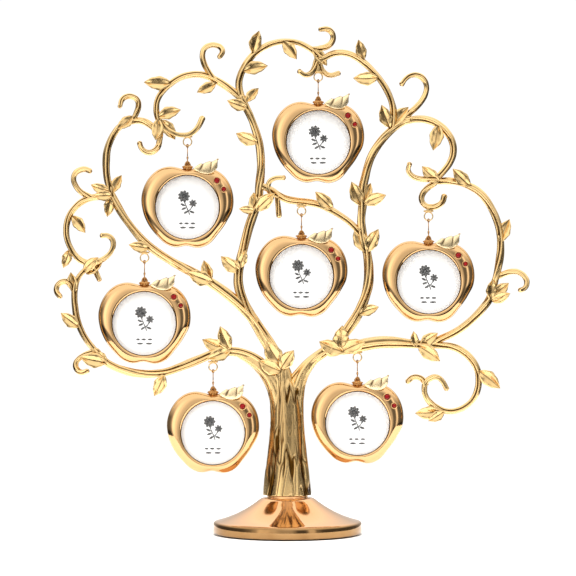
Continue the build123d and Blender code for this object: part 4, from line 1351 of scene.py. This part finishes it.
class PHOTOTREE_OT_stones(Operator):
    """Two red stones with a table and crown facets on each apple"""

    bl_idname = "phototree.stones"
    bl_label = "Stones"

    def execute(self, context):
        table, height, facet = STONE_SHARES
        for number in APPLE_NUMBERS:
            bm = bmesh.new()
            for seat, radius in gem_seats(number):
                facing = Matrix.Translation(seat + Vector((0, -STONE_DEPTH, 0))) @ FORWARDS
                made = add_shape(bm, bmesh.ops.create_cone, facing, cap_ends=True, segments=8, radius1=radius,
                                 radius2=radius * table, depth=radius * height)
                bevel_edges(bm, edges_of(made), radius * facet, 1)
            add_piece(bm, f"red_stones_{number}", f"apple_frame_{number}", finish("cut_stone"),
                      [f"apple_{number}_gems"], smooth=False)
        return {"FINISHED"}


class PHOTOTREE_OT_foot(Operator):
    """Polished round foot with a sloping top and a neck"""

    bl_idname = "phototree.foot"
    bl_label = "Foot"

    def execute(self, context):
        low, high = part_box("pedestal")
        radius, top, bottom = high.x / MM, high.z / MM, low.z / MM
        edge = [(radius + step, height) for step, height in FOOT_EDGE]
        outline = [
            (FOOT_BORE, FOOT_RECESS_TOP), (FOOT_FELT, FOOT_RECESS_TOP), (FOOT_FELT, bottom),
            (radius - FOOT_UNDERCUT, bottom), *edge, *FOOT_SLOPE, (FOOT_NECK, top), (FOOT_BORE, top),
        ]
        bm = bmesh.new()
        first = last = bm.verts.new((outline[0][0] * MM, 0, outline[0][1] * MM))
        for x, z in outline[1:]:
            last = bmesh.ops.extrude_vert_indiv(bm, verts=[last])["verts"][0]
            last.co = (x * MM, 0, z * MM)
        bm.edges.new((last, first))
        spin_round(bm, bm.verts[:] + bm.edges[:], FOOT_STEPS)
        bmesh.ops.recalc_face_normals(bm, faces=bm.faces)
        piece = add_piece(bm, "polished_foot", "root", finish("foot_gilt"), ["pedestal"])
        round_edges = piece.modifiers.new("round_edges", "BEVEL")
        round_edges.width = 0.25 * MM
        round_edges.segments = 3
        round_edges.angle_limit = math.radians(35)
        return {"FINISHED"}


class PHOTOTREE_OT_small_parts(Operator):
    """Finishes for the windows, back plates, felt and screw"""

    bl_idname = "phototree.small_parts"
    bl_label = "Small parts"

    def execute(self, context):
        looks = {"felt_pad": "wool_felt", "fixing_screw": "zinc_steel"}
        for number in APPLE_NUMBERS:
            looks[f"apple_{number}_back_plate"] = "pressed_gilt"
            looks[f"apple_{number}_window"] = "clear_acrylic"
        for node, name in looks.items():
            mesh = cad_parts[node].data
            mesh.materials.clear()
            mesh.materials.append(finish(name))
        return {"FINISHED"}


class PHOTOTREE_OT_stage(Operator):
    """Pale floor, soft studio light and the camera at the photograph's angle"""

    bl_idname = "phototree.stage"
    bl_label = "Stage"

    def execute(self, context):
        scene = context.scene
        self.floor()
        self.lights()
        self.world(scene)
        self.camera(scene)
        scene.view_settings.view_transform = "Standard"
        return {"FINISHED"}

    def floor(self):
        """Flat pale sheet under the foot."""
        bm = bmesh.new()
        bmesh.ops.create_grid(bm, x_segments=1, y_segments=1, size=FLOOR_HALF)
        mesh = mesh_of(bm, "pale_floor")
        mesh.materials.append(finish("pale_paper"))
        show("pale_floor", mesh)

    def lights(self):
        """Large softboxes to both sides and above, for the paper and the cards."""
        for name, (spot, size, power) in SOFTBOXES.items():
            light = bpy.data.lights.new(name, "AREA")
            light.shape = "SQUARE"
            light.size = size
            light.energy = power
            lamp = show(name, light)
            lamp.location = spot
            lamp.rotation_euler = (LIGHT_TARGET - Vector(spot)).to_track_quat("-Z", "Y").to_euler()
            lamp.visible_glossy = False

    def world(self, scene):
        """Studio round the object: pale front, bright panels beside the camera, dark wings, bright top."""
        world = bpy.data.worlds.new("studio")
        world.use_nodes = True
        tree = world.node_tree
        way = add_node(tree, "ShaderNodeSeparateXYZ", {
            "Vector": add_node(tree, "ShaderNodeTexCoord").outputs["Generated"]})
        toward = add_node(tree, "ShaderNodeMath", {0: way.outputs["Y"], 1: -1.0}, operation="MULTIPLY")
        bearing = add_node(tree, "ShaderNodeMath", {
            0: way.outputs["X"], 1: toward.outputs[0]}, operation="ARCTAN2")
        stops = [(degrees / 180, bright) for degrees, bright in WALLS]
        walls = self.ramp(tree, bearing.outputs[0], math.pi, stops)
        table = self.ramp(tree, way.outputs["Z"], 1.0, TABLE_EDGE)
        shaded = add_node(tree, "ShaderNodeMix", {
            "Factor": 1.0, "A": walls, "B": table}, data_type="RGBA", blend_type="MULTIPLY")
        height = add_node(tree, "ShaderNodeMapRange", {
            "Value": way.outputs["Z"], "From Min": CEILING_FOOT, "From Max": CEILING_TOP})
        mixed = add_node(tree, "ShaderNodeMix", {
            "Factor": height.outputs["Result"], "A": shaded.outputs["Result"], "B": CEILING},
            data_type="RGBA")
        paths = add_node(tree, "ShaderNodeLightPath")
        seen = add_node(tree, "ShaderNodeMix", {
            "Factor": paths.outputs["Is Camera Ray"], "A": mixed.outputs["Result"], "B": BACKDROP},
            data_type="RGBA")
        background = tree.nodes["Background"]
        tree.links.new(seen.outputs["Result"], background.inputs["Color"])
        background.inputs["Strength"].default_value = STUDIO_POWER
        scene.world = world

    def ramp(self, tree, value, reach, stops):
        """Warm grey ramp over a value from -reach to reach, with stops of (share of reach, brightness)."""
        share = add_node(tree, "ShaderNodeMapRange", {"Value": value, "From Min": -reach, "From Max": reach})
        node = add_node(tree, "ShaderNodeValToRGB", {"Fac": share.outputs["Result"]})
        ramp = node.color_ramp
        ramp.interpolation = "EASE"
        while len(ramp.elements) > 1:
            ramp.elements.remove(ramp.elements[-1])
        for index, (along, bright) in enumerate(stops):
            stop = ramp.elements.new((along + 1) / 2) if index else ramp.elements[0]
            stop.position = (along + 1) / 2
            stop.color = (*(bright * warm for warm in WARMTH), 1.0)
        return node.outputs["Color"]

    def camera(self, scene):
        """Level camera in front of the tree, framed as the photograph is."""
        data = bpy.data.cameras.new("camera")
        data.sensor_width = SENSOR_WIDTH
        data.lens = SENSOR_WIDTH * CAMERA_DISTANCE / (PHOTO_PIXELS * PIXEL)
        camera = show("camera", data)
        camera.location = place((PHOTO_PIXELS / 2, PHOTO_PIXELS / 2), -CAMERA_DISTANCE)
        camera.rotation_euler = (math.pi / 2, 0, 0)
        scene.camera = camera


OPERATORS = (
    PHOTOTREE_OT_trunk, PHOTOTREE_OT_branches, PHOTOTREE_OT_apples, PHOTOTREE_OT_links, PHOTOTREE_OT_cards,
    PHOTOTREE_OT_stones, PHOTOTREE_OT_foot, PHOTOTREE_OT_small_parts, PHOTOTREE_OT_stage,
)
GROUPS = {
    "phototree_branches": BranchSettings, "phototree_apple": AppleSettings, "phototree_finish": FinishSettings,
}


class PHOTOTREE_PT_panel(Panel):
    """Lists the steps that dress the stand"""

    bl_idname = "PHOTOTREE_PT_panel"
    bl_label = "Photo Tree"
    bl_space_type = "VIEW_3D"
    bl_region_type = "UI"
    bl_category = "Photo Tree"

    def draw(self, context):
        for name, group in GROUPS.items():
            for setting in group.__annotations__:
                self.layout.prop(getattr(context.scene, name), setting)
        for operator in OPERATORS:
            self.layout.operator(operator.bl_idname)


CLASSES = (*GROUPS.values(), *OPERATORS, PHOTOTREE_PT_panel)


def register():
    for cls in CLASSES:
        bpy.utils.register_class(cls)
    for name, group in GROUPS.items():
        setattr(bpy.types.Scene, name, PointerProperty(type=group))


def unregister():
    for name in GROUPS:
        delattr(bpy.types.Scene, name)
    for cls in reversed(CLASSES):
        bpy.utils.unregister_class(cls)


def main():
    register()
    bpy.ops.phototree.trunk()
    bpy.ops.phototree.branches()
    bpy.ops.phototree.apples()
    bpy.ops.phototree.links()
    bpy.ops.phototree.cards()
    bpy.ops.phototree.stones()
    bpy.ops.phototree.foot()
    bpy.ops.phototree.small_parts()
    bpy.ops.phototree.stage()


if __name__ == "__main__":
    main()
